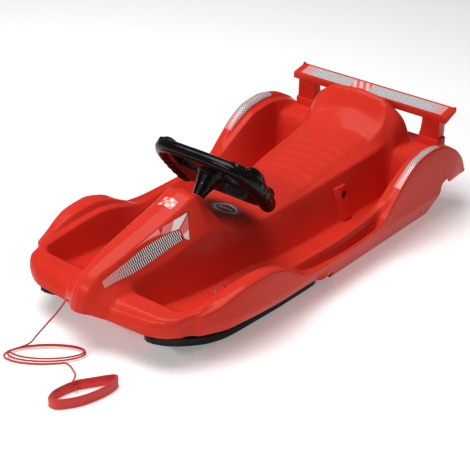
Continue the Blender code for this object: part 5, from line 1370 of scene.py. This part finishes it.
for side in (-1, 1):
    tip, pillar = [[(side * x, z) for x, z in outline] for outline in (tip_outline, pillar_outline)]
    wing_parts.append(piece_of("tip", add_prism, tip, wing_rear - TIP_DEPTH, wing_rear - TIP_INSET, "Y"))
    wing_parts.append(piece_of("pillar", add_prism, pillar, PILLAR_FRONT, PILLAR_REAR, "Y"))
    wing_feet.append(piece_of("spigot", add_prism, rectangle(
        side, PILLAR_INNER + SPIGOT_INSET, PILLAR_OUTER - SPIGOT_INSET, PILLAR_FRONT + SPIGOT_INSET,
        PILLAR_REAR - SPIGOT_INSET), STUB_TOP - SPIGOT_DEPTH, STUB_TOP + 0.006, "Z"))
combine(wing, wing_parts, "UNION")
edges_round = wing.modifiers.new("edges", "BEVEL")
edges_round.width = 0.0016
edges_round.segments = 3
edges_round.limit_method = "ANGLE"
edges_round.angle_limit = math.radians(35)
apply_modifiers(wing)
combine(wing, wing_feet, "UNION")
combine(wing, [wing_screw_holes("wing_holes", 0.0063, 0.002, 0.0028)], "DIFFERENCE")
wing.data.set_sharp_from_angle(angle=math.radians(32))
dress(wing, "chassis", "red_plastic", ("rear_wing",))
print("the wing has", len(wing.data.polygons), "faces")
lay_film("wing_film", surface_tree(wing),
         lambda u, v: (BAND_LENGTH * (u - 0.5), WING_FRONT + BAND_INSET + BAND_DEPTH * v, BAND_Z),
         (0, 0, 1), 80, 4, wing_print())


# %% [markdown]
# ## Floor and light
#
# A plain pale floor that glows a little and a wide overhead light give the photograph's soft
# shadow. A long thin light in front of the nose makes the pale streaks along the creases of the
# shell, and a dim white room fills the rest.

# %% Floor
FLOOR_GLOW = 0.30


def floor_material():
    made = Finish("pale_floor", (0.95, 0.95, 0.95), 0.75)
    made.paint(made.mix(made.noise(3.0).span(0.3, 0.7), (0.94, 0.94, 0.94), (0.96, 0.96, 0.96)))
    made.give(made.shader, {"Emission Color": (1, 1, 1, 1), "Emission Strength": FLOOR_GLOW})
    return made.material


floor_mesh = bmesh.new()
bmesh.ops.create_grid(floor_mesh, x_segments=2, y_segments=2, size=12)
floor = mesh_object("floor", floor_mesh)
floor.data.materials.append(floor_material())


# %% Light
ROOM_STRENGTH = 0.15
GAMMA = 0.84


def soft_light(name, place, aim, size, power):
    lamp = bpy.data.lights.new(name, "AREA")
    lamp.shape = "RECTANGLE"
    lamp.size, lamp.size_y = size
    lamp.energy = power
    made = new_object(name, lamp)
    made.location = place
    made.rotation_euler = (Vector(aim) - Vector(place)).to_track_quat("-Z", "Y").to_euler()


soft_light("overhead", (-0.5, -0.4, 2.6), (0, 0, 0), (2.0, 2.0), 66)
soft_light("front_streak", (-0.4, -2.6, 1.7), (0, 0, 0.1), (1.8, 0.14), 20)
world = bpy.data.worlds.new("pale_room")
bpy.context.scene.world = world
world.use_nodes = True
world.node_tree.nodes["Background"].inputs["Color"].default_value = (1, 1, 1, 1)
world.node_tree.nodes["Background"].inputs["Strength"].default_value = ROOM_STRENGTH
bpy.context.scene.view_settings.view_transform = "Standard"
bpy.context.scene.view_settings.gamma = GAMMA
